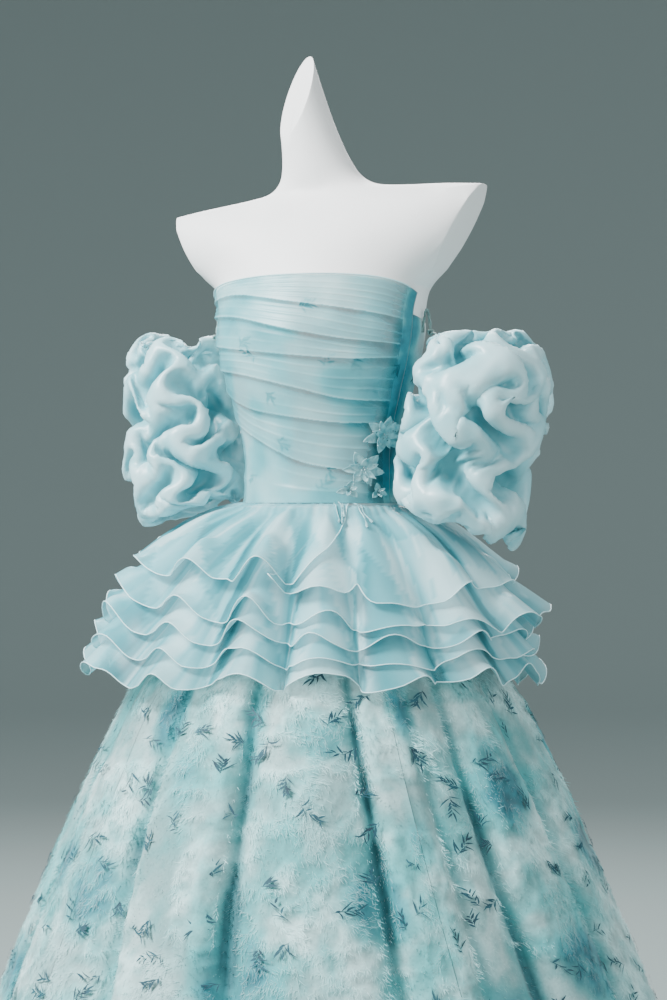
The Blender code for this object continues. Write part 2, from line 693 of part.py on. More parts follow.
def skirt_height(reach):
    """The height of the skirt's outer face at a distance from the axis."""
    rows = sorted(SKIRT, key=lambda row: -row.height)
    for upper, lower in zip(rows, rows[1:]):
        if reach <= lower.half_width:
            share = (reach - upper.half_width) / (lower.half_width - upper.half_width)
            return upper.height + (lower.height - upper.height) * max(share, 0.0)
    return rows[-1].height


def wave(angle):
    """The ruffles' shared wave, from -1 in a hollow to about 1.5 on a crest."""
    crests = RUFFLE_WAVE
    for first, second in zip(crests, crests[1:]):
        if first.angle <= angle <= second.angle:
            share = (angle - first.angle) / (second.angle - first.angle)
            height = first.height + (second.height - first.height) * share
            return height * math.cos(2 * math.pi * share)
    return 0.0


def ruffle_height(layer, start_z, angle, reach, drop=0.0):
    """The height of a layer's top face at an angle and a distance from the axis, and how steeply it falls."""
    hem = read(RUFFLE_HEMS, angle)
    fall = hem[layer + 5] + drop
    out = max(reach - waist_reach(angle, LOWEST_GATHER), 0.0)
    share = out / RUFFLE_REACH
    swell = RUFFLE_BULGE * math.sin(math.pi * min(share, 1.0))
    ripple = WAVE_HEIGHT * share * wave(angle)
    own = OWN_RIPPLE * share * math.sin(math.radians(angle * (OWN_RIPPLE_WAVES + layer)) + layer)
    raised = start_z - (WAIST_SEAM - RUFFLE_STEP * layer)
    over_skirt = skirt_height(reach) + SKIRT_CLEAR + LAYER_CLEAR * (5 - layer) + raised
    free = start_z - fall * out + swell + ripple + own
    return max(free, min(over_skirt, start_z - LEAST_FALL * fall * out)), fall


def ruffle_angles(start, end):
    """Columns of a ruffle: four to each wave, so that crests and hollows are met."""
    marks = []
    for first, second in zip(RUFFLE_WAVE, RUFFLE_WAVE[1:]):
        for part in range(WAVE_COLUMNS):
            marks.append(first.angle + (second.angle - first.angle) * part / WAVE_COLUMNS)
    inside = [mark for mark in marks if start + 1.5 < mark < end - 1.5]
    return [start] + inside + [end]


def build_ruffle(name, layer, start_z, start, end, start_at_hem=None, end_at_hem=None, drop=0.0):
    """One layer of the peplum as a wall that lies over the next; its ends may run aslant from waist to hem."""
    start_at_hem = start if start_at_hem is None else start_at_hem
    end_at_hem = end if end_at_hem is None else end_at_hem
    columns = ruffle_angles(start, end)
    top = []
    bottom = []
    for part in RUFFLE_FRACTIONS:
        top_row = []
        bottom_row = []
        for mark in columns:
            along = (mark - start) / (end - start)
            angle = mark + part * ((start_at_hem - start) * (1 - along) ** 3 + (end_at_hem - end) * along**3)
            hem_reach = read(RUFFLE_HEMS, angle)[layer] + WAVE_REACH * wave(angle)
            inner_reach = waist_reach(angle, start_z - 2 * RUFFLE_WALL)
            reach = inner_reach + (hem_reach - inner_reach) * part
            height, fall = ruffle_height(layer, start_z, angle, reach, drop)
            x = reach * sine(angle)
            y = -reach * cosine(angle)
            top_row.append((x, y, height))
            bottom_row.append((x, y, height - RUFFLE_WALL * math.hypot(1.0, fall)))
        top.append(top_row)
        bottom.append(bottom_row)
    keep(name, wall(top, bottom, False), "organza", ORGANZA)


def build_peplum():
    """Top layer in two halves, the right half wrapped over the left one, and four layers under them."""
    edge = 180.0 - BACK_OPENING
    build_ruffle("peplum_1_right", 1, WAIST_SEAM, -edge, WRAP_EDGE_AT_WAIST, None, WRAP_EDGE_AT_HEM)
    under = WRAP_EDGE_AT_WAIST - WRAP_UNDER
    under_hem = WRAP_EDGE_AT_HEM - WRAP_UNDER
    build_ruffle("peplum_1_left", 1, WAIST_SEAM - RUFFLE_STEP, under, edge, under_hem, None, WRAP_DROP)
    for layer in range(2, 6):
        build_ruffle("peplum_%d" % layer, layer, WAIST_SEAM - RUFFLE_STEP * layer, -edge, edge)


# Sleeves


def clear_of_body(point, clearance):
    """A point moved straight out from the body's axis until it clears the bodice and its drape."""
    section = body_section(min(point.z, BODICE_TOP_SECTIONS[1].height))
    out = BODICE_CLEAR + BODICE_WALL + DRAPE_CLEAR + DRAPE_WALL + PLEATS_STAND_OUT + clearance
    wide = section.half_width + out
    deep = section.half_depth + out
    y = point.y - section.centre_y
    near = math.hypot(point.x / wide, y / deep)
    if near >= 1.0:
        return point
    return Vector((point.x / near, section.centre_y + y / near, point.z))


def sleeve_point(ring, index, angle, inside, clearance):
    """A point on a sleeve's crumpled wall."""
    lobe = math.sin(math.radians(CRUMPLE_LOBES * angle + CRUMPLE_TURN * index * (1 if index % 2 else -1)))
    small = math.sin(math.radians(SMALL_LOBES * angle - SMALL_TURN * index))
    grow = 1.0 + ring.crumple * (CRUMPLE_SHARE * lobe + SMALL_SHARE * small)
    x = ring.centre_x + (ring.half_width * grow - inside) * sine(angle)
    y = ring.centre_y - (ring.half_depth * grow - inside) * cosine(angle)
    z = ring.height - ring.tilt * (x - ring.centre_x)
    return clear_of_body(Vector((x, y, z)), clearance)


def build_sleeve(name, rings):
    """A detached puff, open at its head and its cuff."""
    angles = [360.0 * column / SLEEVE_COLUMNS for column in range(SLEEVE_COLUMNS)]
    outer = []
    inner = []
    for index, ring in enumerate(rings):
        outer.append([sleeve_point(ring, index, angle, 0.0, SLEEVE_CLEAR) for angle in angles])
        inner.append([sleeve_point(ring, index, angle, SLEEVE_WALL, SLEEVE_CLEAR + SLEEVE_WALL) for angle in angles])
    keep(name, wall(outer, inner, True), "organza", ORGANZA)


def ribbon(path, width_axis, width, thickness):
    """A flat band along a path of points, its broad side held along one direction."""
    made = bmesh.new()
    rings = []
    for index, point in enumerate(path):
        before = path[max(index - 1, 0)]
        after = path[min(index + 1, len(path) - 1)]
        along = (after - before).normalized()
        across = (width_axis - along * width_axis.dot(along)).normalized()
        out = along.cross(across)
        ring = []
        for side, face in ((-1, -1), (1, -1), (1, 1), (-1, 1)):
            ring.append(made.verts.new(point + across * side * width / 2 + out * face * thickness / 2))
        rings.append(ring)
    for first, second in zip(rings, rings[1:]):
        for corner in range(4):
            following = (corner + 1) % 4
            made.faces.new((first[corner], first[following], second[following], second[corner]))
    made.faces.new(rings[0])
    made.faces.new(rings[-1])
    return made


def build_tie(name, side, sleeve_rings):
    """A narrow tie that rises in a loop from the bodice's side and comes down on the sleeve's head."""
    head = sleeve_rings[-2]
    start = body_point(TIE_HEIGHT, side * TIE_ANGLE, BODICE_CLEAR + BODICE_WALL + SEAM + TIE_THICKNESS / 2)
    landing = Vector((start.x + side * TIE_REACH, start.y, head.height + SEAM + TIE_THICKNESS / 2))
    path = []
    for step in range(TIE_STEPS):
        part = step / (TIE_STEPS - 1)
        rise = TIE_RISE * math.sin(math.pi * part)
        path.append(start + (landing - start) * part + Vector((0.0, 0.0, rise)))
    path.append(landing + Vector((side * TIE_END, 0.0, 0.0)))
    keep(name, ribbon(path, Vector((0, 1, 0)), TIE_WIDTH, TIE_THICKNESS), "organza", ORGANZA)


# Flowers and bead cords


def petal_spot(flower, share, step):
    """Where a point of a flower lies on the bodice: its angle and height."""
    turn = 360.0 * step / (flower.petals * PETAL_STEPS)
    petal = abs(math.cos(math.radians(flower.petals * turn / 2)))
    reach = flower.radius * share * (1 - PETAL_NOTCH * share * (1 - petal**PETAL_ROUNDNESS))
    across = reach * cosine(turn + flower.turn)
    up = reach * sine(turn + flower.turn)
    return flower.angle + math.degrees(across / body_section(flower.height).half_depth), flower.height + up


def build_flower(name, flower):
    """A sewn-on flower that lies over the pleats: one body of cupped petals round a raised heart."""
    around = flower.petals * PETAL_STEPS
    under = 0.0
    for share in PETAL_RINGS:
        for step in range(around):
            angle, height = petal_spot(flower, share, step)
            under = max(under, drape_out(height, angle))
    under += DRAPE_FACE + FLOWER_CLEAR
    made = bmesh.new()
    top_rings = []
    low_rings = []
    for share in PETAL_RINGS[1:]:
        lift = under + flower.lift * share**2
        thick = PETAL_EDGE + (HEART_HEIGHT - PETAL_EDGE) * (1 - share) ** 2
        spots = [petal_spot(flower, share, step) for step in range(around)]
        low_rings.append([made.verts.new(body_point(height, angle, lift)) for angle, height in spots])
        top_rings.append([made.verts.new(body_point(height, angle, lift + thick)) for angle, height in spots])
    heart_low = made.verts.new(body_point(flower.height, flower.angle, under))
    heart_top = made.verts.new(body_point(flower.height, flower.angle, under + HEART_HEIGHT))
    for rings, heart in ((top_rings, heart_top), (low_rings, heart_low)):
        for step in range(around):
            following = (step + 1) % around
            made.faces.new((heart, rings[0][step], rings[0][following]))
            for lower, upper in zip(rings, rings[1:]):
                made.faces.new((lower[step], lower[following], upper[following], upper[step]))
    top_edge = top_rings[-1]
    low_edge = low_rings[-1]
    for step in range(around):
        following = (step + 1) % around
        made.faces.new((top_edge[step], top_edge[following], low_edge[following], low_edge[step]))
    keep(name, made, "satin", SATIN)


def peplum_face(angle, reach, over_wrap):
    """The height of the top layer's faceted upper side, and its fall, at an angle and a distance from the axis."""
    start_z = WAIST_SEAM if over_wrap else WAIST_SEAM - RUFFLE_STEP
    drop = 0.0 if over_wrap else WRAP_DROP
    inner_reach = waist_reach(angle, start_z - 2 * RUFFLE_WALL)
    hem_reach = read(RUFFLE_HEMS, angle).reach_1 + WAVE_REACH * wave(angle)
    rows = []
    for part in RUFFLE_FRACTIONS:
        row_reach = inner_reach + (hem_reach - inner_reach) * part
        rows.append(TopEdge(row_reach, ruffle_height(1, start_z, angle, row_reach, drop)[0]))
    fall = (rows[0].height - rows[1].height) / (rows[1].angle - rows[0].angle)
    return straight(rows, reach).height, fall


def build_bead_cord(name, cord):
    """A fine cord that lies down the peplum from a bud and ends in a bead."""
    radii = [CORD_RADIUS] * CORD_STEPS + [BEAD_RADIUS, BEAD_RADIUS, CORD_RADIUS]
    lengths = [cord.length * step / CORD_STEPS for step in range(CORD_STEPS)]
    lengths += [cord.length, cord.length + BEAD_RADIUS, cord.length + 2 * BEAD_RADIUS]
    made = bmesh.new()
    rings = []
    for radius, length in zip(radii, lengths):
        fall = peplum_face(cord.angle, cord.inner_reach, cord.over_wrap)[1]
        steep = math.hypot(1.0, fall)
        reach = cord.inner_reach + length / steep
        height = peplum_face(cord.angle, reach, cord.over_wrap)[0] + (radius + cord.clear) * steep
        ring = []
        for side in range(6):
            turn = 60.0 * side
            angle = cord.angle + math.degrees(radius * cosine(turn) / reach)
            lift = radius * sine(turn)
            outward = reach + lift * fall / steep
            ring.append(made.verts.new((outward * sine(angle), -outward * cosine(angle), height + lift / steep)))
        rings.append(ring)
    for first, second in zip(rings, rings[1:]):
        for side in range(6):
            following = (side + 1) % 6
            made.faces.new((first[side], first[following], second[following], second[side]))
    made.faces.new(rings[0])
    made.faces.new(rings[-1])
    keep(name, made, "satin", SATIN)


def main():
    clear_scene()
    build_torso()
    build_stand()
    build_bodice()
    build_zip()
    build_drape()
    build_skirt()
    build_peplum()
    build_sleeve("sleeve_left", SLEEVE_LEFT)
    build_sleeve("sleeve_right", SLEEVE_RIGHT)
    build_tie("sleeve_tie_left", 1, SLEEVE_LEFT)
    build_tie("sleeve_tie_right", -1, SLEEVE_RIGHT)
    for name, flower in FLOWERS.items():
        build_flower(name, flower)
    for name, cord in BEAD_CORDS.items():
        build_bead_cord(name, cord)


main()
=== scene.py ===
"""Looks of a strapless prom dress on its dress form: organza, printed eyelash jacquard and applique.

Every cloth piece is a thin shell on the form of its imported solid. Metres, +Z up, the front faces -Y and
the wearer's left is +X. Angles are degrees round the body, from 0 at centre front towards the left.
"""

from __future__ import annotations

import itertools
import json
import logging
import math
from dataclasses import dataclass
from enum import Enum
from typing import Callable, NamedTuple, Sequence

import bpy
import numpy as np
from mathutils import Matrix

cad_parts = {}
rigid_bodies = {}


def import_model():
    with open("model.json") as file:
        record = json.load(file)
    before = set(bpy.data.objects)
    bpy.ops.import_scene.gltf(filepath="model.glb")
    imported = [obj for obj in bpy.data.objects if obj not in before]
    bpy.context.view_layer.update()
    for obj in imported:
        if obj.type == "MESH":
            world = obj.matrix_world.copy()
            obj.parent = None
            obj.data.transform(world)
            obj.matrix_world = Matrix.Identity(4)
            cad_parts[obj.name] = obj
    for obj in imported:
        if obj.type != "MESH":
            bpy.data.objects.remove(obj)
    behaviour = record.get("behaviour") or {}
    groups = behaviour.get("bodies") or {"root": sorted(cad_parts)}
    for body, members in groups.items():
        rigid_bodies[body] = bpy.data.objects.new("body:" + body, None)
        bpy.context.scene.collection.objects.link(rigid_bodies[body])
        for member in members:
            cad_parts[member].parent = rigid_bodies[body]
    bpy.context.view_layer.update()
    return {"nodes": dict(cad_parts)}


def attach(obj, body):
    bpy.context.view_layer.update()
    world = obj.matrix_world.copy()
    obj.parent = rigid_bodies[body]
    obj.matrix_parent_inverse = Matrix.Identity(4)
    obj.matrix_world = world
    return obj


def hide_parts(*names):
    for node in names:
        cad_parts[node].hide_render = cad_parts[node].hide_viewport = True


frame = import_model()
LOG = logging.getLogger("prom dress")
Piece = bpy.types.Object
Socket = bpy.types.NodeSocket
Tree = bpy.types.NodeTree

# Spaces between the worn layers, as the solids have them
BODICE_FACE = 0.0024
DRAPE_FACE = 0.0044
RUFFLE_WALL = 0.0011
WAIST_SEAM = 1.0500
SKIRT_TOP = 1.0290
HEM = 0.0150


class Bend(Enum):
    """How a value is read between the rows of a table."""

    STRAIGHT = "straight"
    SMOOTH = "smooth"


class Hold(Enum):
    """How a sheet of cloth is held."""

    DRAPED = "draped"
    GATHERED = "gathered"
    STRETCHED = "stretched"


class BodyRing(NamedTuple):
    """A level section of the worn body."""

    height: float
    half_width: float
    half_depth: float
    centre_y: float


BODY = (
    BodyRing(0.950, 0.1470, 0.1060, 0.000),
    BodyRing(1.000, 0.1280, 0.0980, -0.003),
    BodyRing(1.050, 0.1125, 0.0900, -0.006),
    BodyRing(1.090, 0.1105, 0.0875, -0.007),
    BodyRing(1.130, 0.1120, 0.0885, -0.008),
    BodyRing(1.170, 0.1200, 0.0955, -0.010),
    BodyRing(1.210, 0.1310, 0.1045, -0.012),
    BodyRing(1.250, 0.1420, 0.1120, -0.013),
    BodyRing(1.290, 0.1490, 0.1155, -0.012),
    BodyRing(1.330, 0.1520, 0.1120, -0.009),
    BodyRing(1.372, 0.1670, 0.1070, -0.004),
)


class Edge(NamedTuple):
    """The height of an edge at an angle."""

    angle: float
    height: float


FRONT_TOP = (
    Edge(-76.5, 1.344),
    Edge(-60.0, 1.357),
    Edge(-30.0, 1.367),
    Edge(0.0, 1.370),
    Edge(30.0, 1.368),
    Edge(54.0, 1.360),
    Edge(76.5, 1.344),
)
BACK_TOP = (Edge(76.5, 1.314), Edge(100.0, 1.305), Edge(140.0, 1.296), Edge(180.0, 1.292))


class Pleat(NamedTuple):
    """The height of a pleat's edge at five angles, how far it stands out, and how strong a painted
    highlight its edge gets.
    """

    far_right: float
    right: float
    centre: float
    left: float
    far_left: float
    stands_out: float
    light: float


PLEAT_ANGLES = (-74.0, -35.0, 0.0, 30.0, 66.0)
PLEATS = (
    Pleat(1.335, 1.343, 1.3300, 1.3190, 1.3050, 0.0030, 0.9),
    Pleat(1.316, 1.311, 1.2910, 1.2770, 1.2700, 0.0045, 1.0),
    Pleat(1.276, 1.266, 1.2560, 1.2500, 1.2520, 0.0045, 0.7),
    Pleat(1.241, 1.231, 1.2120, 1.1950, 1.1920, 0.0045, 0.9),
    Pleat(1.214, 1.184, 1.1700, 1.1620, 1.1630, 0.0040, 0.6),
    Pleat(1.176, 1.142, 1.1100, 1.0980, 1.0920, 0.0030, 0.8),
)
DRAPE_EDGES = (-74.0, 66.0)
DRAPE_BOTTOM = 1.0512


class SkirtSection(NamedTuple):
    """The skirt's section at a height."""

    height: float
    half_width: float
    half_depth: float


SKIRT = (
    SkirtSection(0.015, 0.600, 0.600),
    SkirtSection(0.200, 0.531, 0.531),
    SkirtSection(0.347, 0.470, 0.470),
    SkirtSection(0.400, 0.450, 0.450),
    SkirtSection(0.520, 0.401, 0.401),
    SkirtSection(0.617, 0.360, 0.360),
    SkirtSection(0.690, 0.326, 0.325),
    SkirtSection(0.770, 0.287, 0.283),
    SkirtSection(0.850, 0.235, 0.228),
    SkirtSection(0.900, 0.200, 0.190),
    SkirtSection(0.950, 0.167, 0.152),
    SkirtSection(1.000, 0.138, 0.118),
    SkirtSection(1.029, 0.1216, 0.0960),
)
SWAY_FROM = 0.75
SKIRT_SWAY = -0.0047
FOLD_TOP = 0.95


class SkirtFold(NamedTuple):
    """A soft valley that runs down the skirt from one angle to another."""

    angle_above: float
    angle_below: float
    depth_above: float
    depth_below: float
    spread: float


SKIRT_FOLDS = (
    SkirtFold(-168.0, -170.0, 0.006, 0.034, 6.0),
    SkirtFold(-141.0, -144.0, 0.005, 0.026, 6.0),
    SkirtFold(-114.0, -117.0, 0.006, 0.030, 6.0),
    SkirtFold(-86.0, -88.0, 0.004, 0.022, 7.0),
    SkirtFold(-56.0, -54.0, 0.004, 0.018, 7.0),
    SkirtFold(-23.0, -19.0, 0.006, 0.026, 8.0),
    SkirtFold(0.0, 9.0, 0.010, 0.040, 5.5),
    SkirtFold(26.0, 46.0, 0.008, 0.036, 5.5),
    SkirtFold(43.0, 57.0, 0.006, 0.014, 4.5),
    SkirtFold(53.0, 70.0, 0.008, 0.032, 5.0),
    SkirtFold(73.0, 95.0, 0.006, 0.022, 5.5),
    SkirtFold(104.0, 122.0, 0.006, 0.030, 6.0),
    SkirtFold(132.0, 143.0, 0.005, 0.024, 6.0),
    SkirtFold(160.0, 165.0, 0.006, 0.032, 6.0),
)
FOLD_ENDS = ((-194.0, -189.0), (192.0, 190.0))


class RuffleHem(NamedTuple):
    """How far each peplum layer reaches from the axis at an angle, and how steeply it falls."""

    angle: float
    reach_1: float
    reach_2: float
    reach_3: float
    reach_4: float
    reach_5: float
    fall_1: float
    fall_2: float
    fall_3: float
    fall_4: float
    fall_5: float


RUFFLE_HEMS = (
    RuffleHem(-180.0, 0.262, 0.288, 0.303, 0.316, 0.330, 0.55, 0.70, 0.82, 0.93, 1.02),
    RuffleHem(-112.0, 0.265, 0.292, 0.308, 0.322, 0.338, 0.54, 0.65, 0.78, 0.89, 0.98),
    RuffleHem(-68.0, 0.264, 0.292, 0.312, 0.328, 0.344, 0.54, 0.64, 0.75, 0.85, 0.93),
    RuffleHem(-40.0, 0.258, 0.280, 0.296, 0.310, 0.324, 0.62, 0.76, 0.88, 0.98, 1.07),
    RuffleHem(-12.0, 0.250, 0.262, 0.272, 0.282, 0.292, 0.66, 0.90, 1.00, 1.10, 1.19),
    RuffleHem(15.0, 0.246, 0.256, 0.263, 0.270, 0.278, 0.72, 1.00, 1.09, 1.18, 1.26),
    RuffleHem(45.0, 0.250, 0.262, 0.270, 0.277, 0.286, 0.88, 1.05, 1.14, 1.22, 1.29),
    RuffleHem(80.0, 0.262, 0.294, 0.284, 0.290, 0.302, 0.74, 0.91, 1.04, 1.13, 1.22),
    RuffleHem(112.0, 0.268, 0.316, 0.290, 0.296, 0.310, 0.60, 0.79, 1.00, 1.11, 1.20),
    RuffleHem(145.0, 0.266, 0.296, 0.298, 0.306, 0.320, 0.57, 0.74, 0.89, 1.00, 1.09),
    RuffleHem(180.0, 0.262, 0.288, 0.303, 0.316, 0.330, 0.55, 0.70, 0.82, 0.93, 1.02),
)


class Wave(NamedTuple):
    """A crest of the ruffles' wave."""

    angle: float
    height: float


WAVES = (
    Wave(-180.0, 0.9),
    Wave(-153.0, 1.1),
    Wave(-128.0, 0.8),
    Wave(-101.0, 1.2),
    Wave(-76.0, 0.9),
    Wave(-52.0, 1.1),
    Wave(-27.0, 0.8),
    Wave(0.0, 1.5),
    Wave(21.0, 1.2),
    Wave(43.0, 0.9),
    Wave(66.0, 1.1),
    Wave(92.0, 0.9),
    Wave(120.0, 1.2),
    Wave(150.0, 0.8),
    Wave(180.0, 0.9),
)
LOWEST_LAYER = 5
RUFFLE_STEP = 0.0027
LOWEST_GATHER = 1.0340
RUFFLE_BULGE = 0.015
RUFFLE_REACH = 0.150
SKIRT_CLEAR = 0.005
LAYER_CLEAR = 0.0045
WAVE_HEIGHT = 0.013
WAVE_REACH = 0.010
OWN_RIPPLE = 0.0025
OWN_RIPPLE_WAVES = 6
LEAST_FALL = 0.2
BACK_OPENING = 0.12


class SleeveRing(NamedTuple):
    """A section of a puff sleeve, from the gathered cuff up to the gathered head."""

    height: float
    centre_x: float
    centre_y: float
    half_width: float
    half_depth: float
    tilt: float


SLEEVE_LEFT = (
    SleeveRing(1.058, 0.2120, -0.012, 0.0490, 0.0540, 0.30),
    SleeveRing(1.036, 0.2130, -0.013, 0.0560, 0.0640, 0.34),
    SleeveRing(1.030, 0.2130, -0.014, 0.0720, 0.0840, 0.30),
    SleeveRing(1.050, 0.2110, -0.014, 0.0860, 0.1020, 0.16),
    SleeveRing(1.088, 0.2120, -0.014, 0.0900, 0.1080, 0.04),
    SleeveRing(1.126, 0.2190, -0.014, 0.0940, 0.1120, 0.00),
    SleeveRing(1.166, 0.2310, -0.014, 0.0950, 0.1140, 0.00),
    SleeveRing(1.204, 0.2380, -0.012, 0.0940, 0.1110, 0.00),
    SleeveRing(1.242, 0.2370, -0.011, 0.0840, 0.1000, 0.00),
    SleeveRing(1.272, 0.2310, -0.009, 0.0700, 0.0820, 0.00),
    SleeveRing(1.285, 0.2280, -0.006, 0.0570, 0.0630, 0.00),
    SleeveRing(1.270, 0.2280, -0.006, 0.0490, 0.0540, 0.00),
)
SLEEVE_RIGHT = (
    SleeveRing(1.068, -0.2080, -0.004, 0.0470, 0.0520, -0.28),
    SleeveRing(1.048, -0.2080, -0.004, 0.0540, 0.0620, -0.30),
    SleeveRing(1.044, -0.2080, -0.004, 0.0680, 0.0800, -0.26),
    SleeveRing(1.062, -0.2120, -0.004, 0.0800, 0.0920, -0.12),
    SleeveRing(1.096, -0.2160, -0.004, 0.0860, 0.0970, -0.03),
    SleeveRing(1.130, -0.2170, -0.004, 0.0850, 0.0970, 0.00),
    SleeveRing(1.168, -0.2170, -0.002, 0.0810, 0.0950, 0.00),
    SleeveRing(1.206, -0.2200, -0.001, 0.0780, 0.0920, 0.00),
    SleeveRing(1.242, -0.2250, 0.000, 0.0760, 0.0880, 0.00),
    SleeveRing(1.272, -0.2280, 0.000, 0.0670, 0.0760, 0.00),
    SleeveRing(1.286, -0.2290, 0.000, 0.0550, 0.0610, 0.00),
    SleeveRing(1.271, -0.2290, 0.000, 0.0480, 0.0530, 0.00),
)
SLEEVE_CLEAR = 0.0090
PLEATS_STAND_OUT = 0.0045


class Blotch(NamedTuple):
    """A watercolour patch of the print, deepened on the bodice's side into painted shade: its middle, half
    its width in degrees and height, its strength.
    """

    angle: float
    height: float
    wide: float
    high: float
    strength: float


SKIRT_BLOTCHES = (
    Blotch(-26.0, 0.760, 5.0, 0.045, 1.0),
    Blotch(-32.0, 0.530, 7.0, 0.050, 1.0),
    Blotch(-47.0, 0.560, 5.0, 0.040, 0.7),
    Blotch(-15.0, 0.690, 5.0, 0.050, 0.4),
    Blotch(1.0, 0.440, 6.0, 0.060, 1.0),
    Blotch(0.0, 0.760, 4.0, 0.060, 0.8),
    Blotch(24.0, 0.535, 6.0, 0.045, 1.0),
    Blotch(18.0, 0.740, 6.0, 0.030, 0.5),
    Blotch(40.0, 0.780, 4.5, 0.040, 0.9),
    Blotch(36.0, 0.620, 5.0, 0.035, 0.4),
    Blotch(62.0, 0.670, 7.0, 0.060, 1.0),
    Blotch(66.0, 0.440, 8.0, 0.050, 1.0),
    Blotch(48.0, 0.400, 6.0, 0.045, 0.6),
    Blotch(-60.0, 0.400, 8.0, 0.050, 0.8),
    Blotch(-20.0, 0.300, 7.0, 0.045, 0.7),
    Blotch(20.0, 0.250, 8.0, 0.060, 0.8),
    Blotch(-45.0, 0.180, 8.0, 0.050, 0.9),
    Blotch(52.0, 0.180, 8.0, 0.055, 0.9),
    Blotch(-2.0, 0.110, 7.0, 0.045, 0.7),
    Blotch(88.0, 0.580, 7.0, 0.050, 0.9),
    Blotch(92.0, 0.280, 8.0, 0.060, 0.9),
    Blotch(112.0, 0.720, 6.0, 0.045, 0.8),
    Blotch(122.0, 0.430, 8.0, 0.055, 1.0),
    Blotch(136.0, 0.180, 8.0, 0.050, 0.9),
    Blotch(150.0, 0.620, 7.0, 0.050, 0.9),
    Blotch(170.0, 0.380, 8.0, 0.060, 1.0),
    Blotch(-172.0, 0.700, 6.0, 0.045, 0.8),
    Blotch(-160.0, 0.200, 8.0, 0.055, 0.9),
    Blotch(-146.0, 0.520, 7.0, 0.050, 1.0),
    Blotch(-126.0, 0.740, 6.0, 0.045, 0.8),
    Blotch(-118.0, 0.320, 8.0, 0.060, 0.9),
    Blotch(-96.0, 0.600, 7.0, 0.050, 0.9),
    Blotch(-84.0, 0.160, 8.0, 0.050, 0.9),
    Blotch(-78.0, 0.760, 6.0, 0.040, 0.8),
)
BODICE_BLOTCHES = (
    Blotch(-62.0, 1.240, 12.0, 0.040, 0.7),
    Blotch(-40.0, 1.120, 14.0, 0.035, 0.6),
    Blotch(-8.0, 1.285, 14.0, 0.015, 0.5),
    Blotch(28.0, 1.220, 12.0, 0.018, 0.8),
    Blotch(44.0, 1.170, 12.0, 0.022, 0.7),
    Blotch(-30.0, 1.185, 10.0, 0.018, 0.5),
    # Painted shade: these four patches on the side are the print's teal deepened, some past a strength of
    # 1, so that the side turned from the light looks shadowed.
    Blotch(72.0, 1.115, 13.0, 0.050, 1.3),
    Blotch(76.0, 1.320, 10.0, 0.060, 1.1),
    Blotch(73.0, 1.210, 12.0, 0.060, 1.2),
    Blotch(70.0, 1.280, 10.0, 0.040, 0.8),
    Blotch(20.0, 1.062, 14.0, 0.012, 0.5),
    Blotch(110.0, 1.180, 14.0, 0.040, 0.8),
    Blotch(140.0, 1.100, 14.0, 0.035, 0.7),
    Blotch(165.0, 1.240, 12.0, 0.030, 0.8),
    Blotch(-110.0, 1.140, 14.0, 0.040, 0.8),
    Blotch(-140.0, 1.240, 14.0, 0.030, 0.7),
    Blotch(-164.0, 1.110, 12.0, 0.030, 0.8),
)


class Sprig(NamedTuple):
    """The place of a sprig of leaves on the bodice."""

    angle: float
    height: float


BODICE_SPRIGS = (
    Sprig(-36.0, 1.268),
    Sprig(-22.0, 1.255),
    Sprig(-20.0, 1.206),
    Sprig(-58.0, 1.175),
    Sprig(18.0, 1.238),
    Sprig(36.0, 1.252),
    Sprig(-18.0, 1.142),
    Sprig(18.0, 1.104),
    Sprig(14.0, 1.068),
    Sprig(-46.0, 1.095),
    Sprig(52.0, 1.215),
    Sprig(4.0, 1.322),
    Sprig(70.0, 1.245),
    Sprig(96.0, 1.240),
    Sprig(118.0, 1.130),
    Sprig(142.0, 1.215),
    Sprig(166.0, 1.150),
    Sprig(-94.0, 1.200),
    Sprig(-120.0, 1.110),
    Sprig(-144.0, 1.170),
    Sprig(-168.0, 1.255),
)


def linear(colour: str) -> tuple[float, float, float]:
    """Turn a colour as a screen shows it into the renderer's linear values.

    Args:
        colour: Hex digits of red, green and blue, such as "#a9d2d6".

    Returns:
        Red, green and blue from 0 to 1.
    """
    parts = [int(colour[place : place + 2], 16) / 255 for place in (1, 3, 5)]
    return tuple(part / 12.92 if part <= 0.04045 else ((part + 0.055) / 1.055) ** 2.4 for part in parts)


def sine(angle: np.ndarray | float) -> np.ndarray:
    """Sine of an angle in degrees."""
    return np.sin(np.radians(angle))


def cosine(angle: np.ndarray | float) -> np.ndarray:
    """Cosine of an angle in degrees."""
    return np.cos(np.radians(angle))


def read(rows: Sequence[tuple], name: str, at: np.ndarray | float, bend: Bend = Bend.SMOOTH) -> np.ndarray:
    """Read one column of a table at values of its first column.

    Args:
        rows: The table's rows, all of one NamedTuple class.
        name: The column to read.
        at: Where to read it.
        bend: Along straight lines between the rows, or a smooth curve through them.

    Returns:
        The column's values there.
    """
    place = rows[0]._fields.index(name)
    table = np.array(sorted((row[0], row[place]) for row in rows), float)
    keys, values = table[:, 0], table[:, 1]
    at = np.clip(np.asarray(at, float), keys[0], keys[-1])
    if bend is Bend.STRAIGHT:
        return np.interp(at, keys, values)
    slopes = np.empty(len(keys))
    slopes[1:-1] = (values[2:] - values[:-2]) / (keys[2:] - keys[:-2])
    slopes[0] = (values[1] - values[0]) / (keys[1] - keys[0])
    slopes[-1] = (values[-1] - values[-2]) / (keys[-1] - keys[-2])
    low = np.clip(np.searchsorted(keys, at) - 1, 0, len(keys) - 2)
    span = keys[low + 1] - keys[low]
    part = (at - keys[low]) / span
    square = part * part
    cube = square * part
    return (
        (2 * cube - 3 * square + 1) * values[low]
        + (cube - 2 * square + part) * span * slopes[low]
        + (3 * square - 2 * cube) * values[low + 1]
        + (cube - square) * span * slopes[low + 1]
    )


def soft_step(value: np.ndarray, low: float, high: float) -> np.ndarray:
    """Rise smoothly from 0 at low to 1 at high."""
    part = np.clip((value - low) / (high - low), 0.0, 1.0)
    return part * part * (3 - 2 * part)


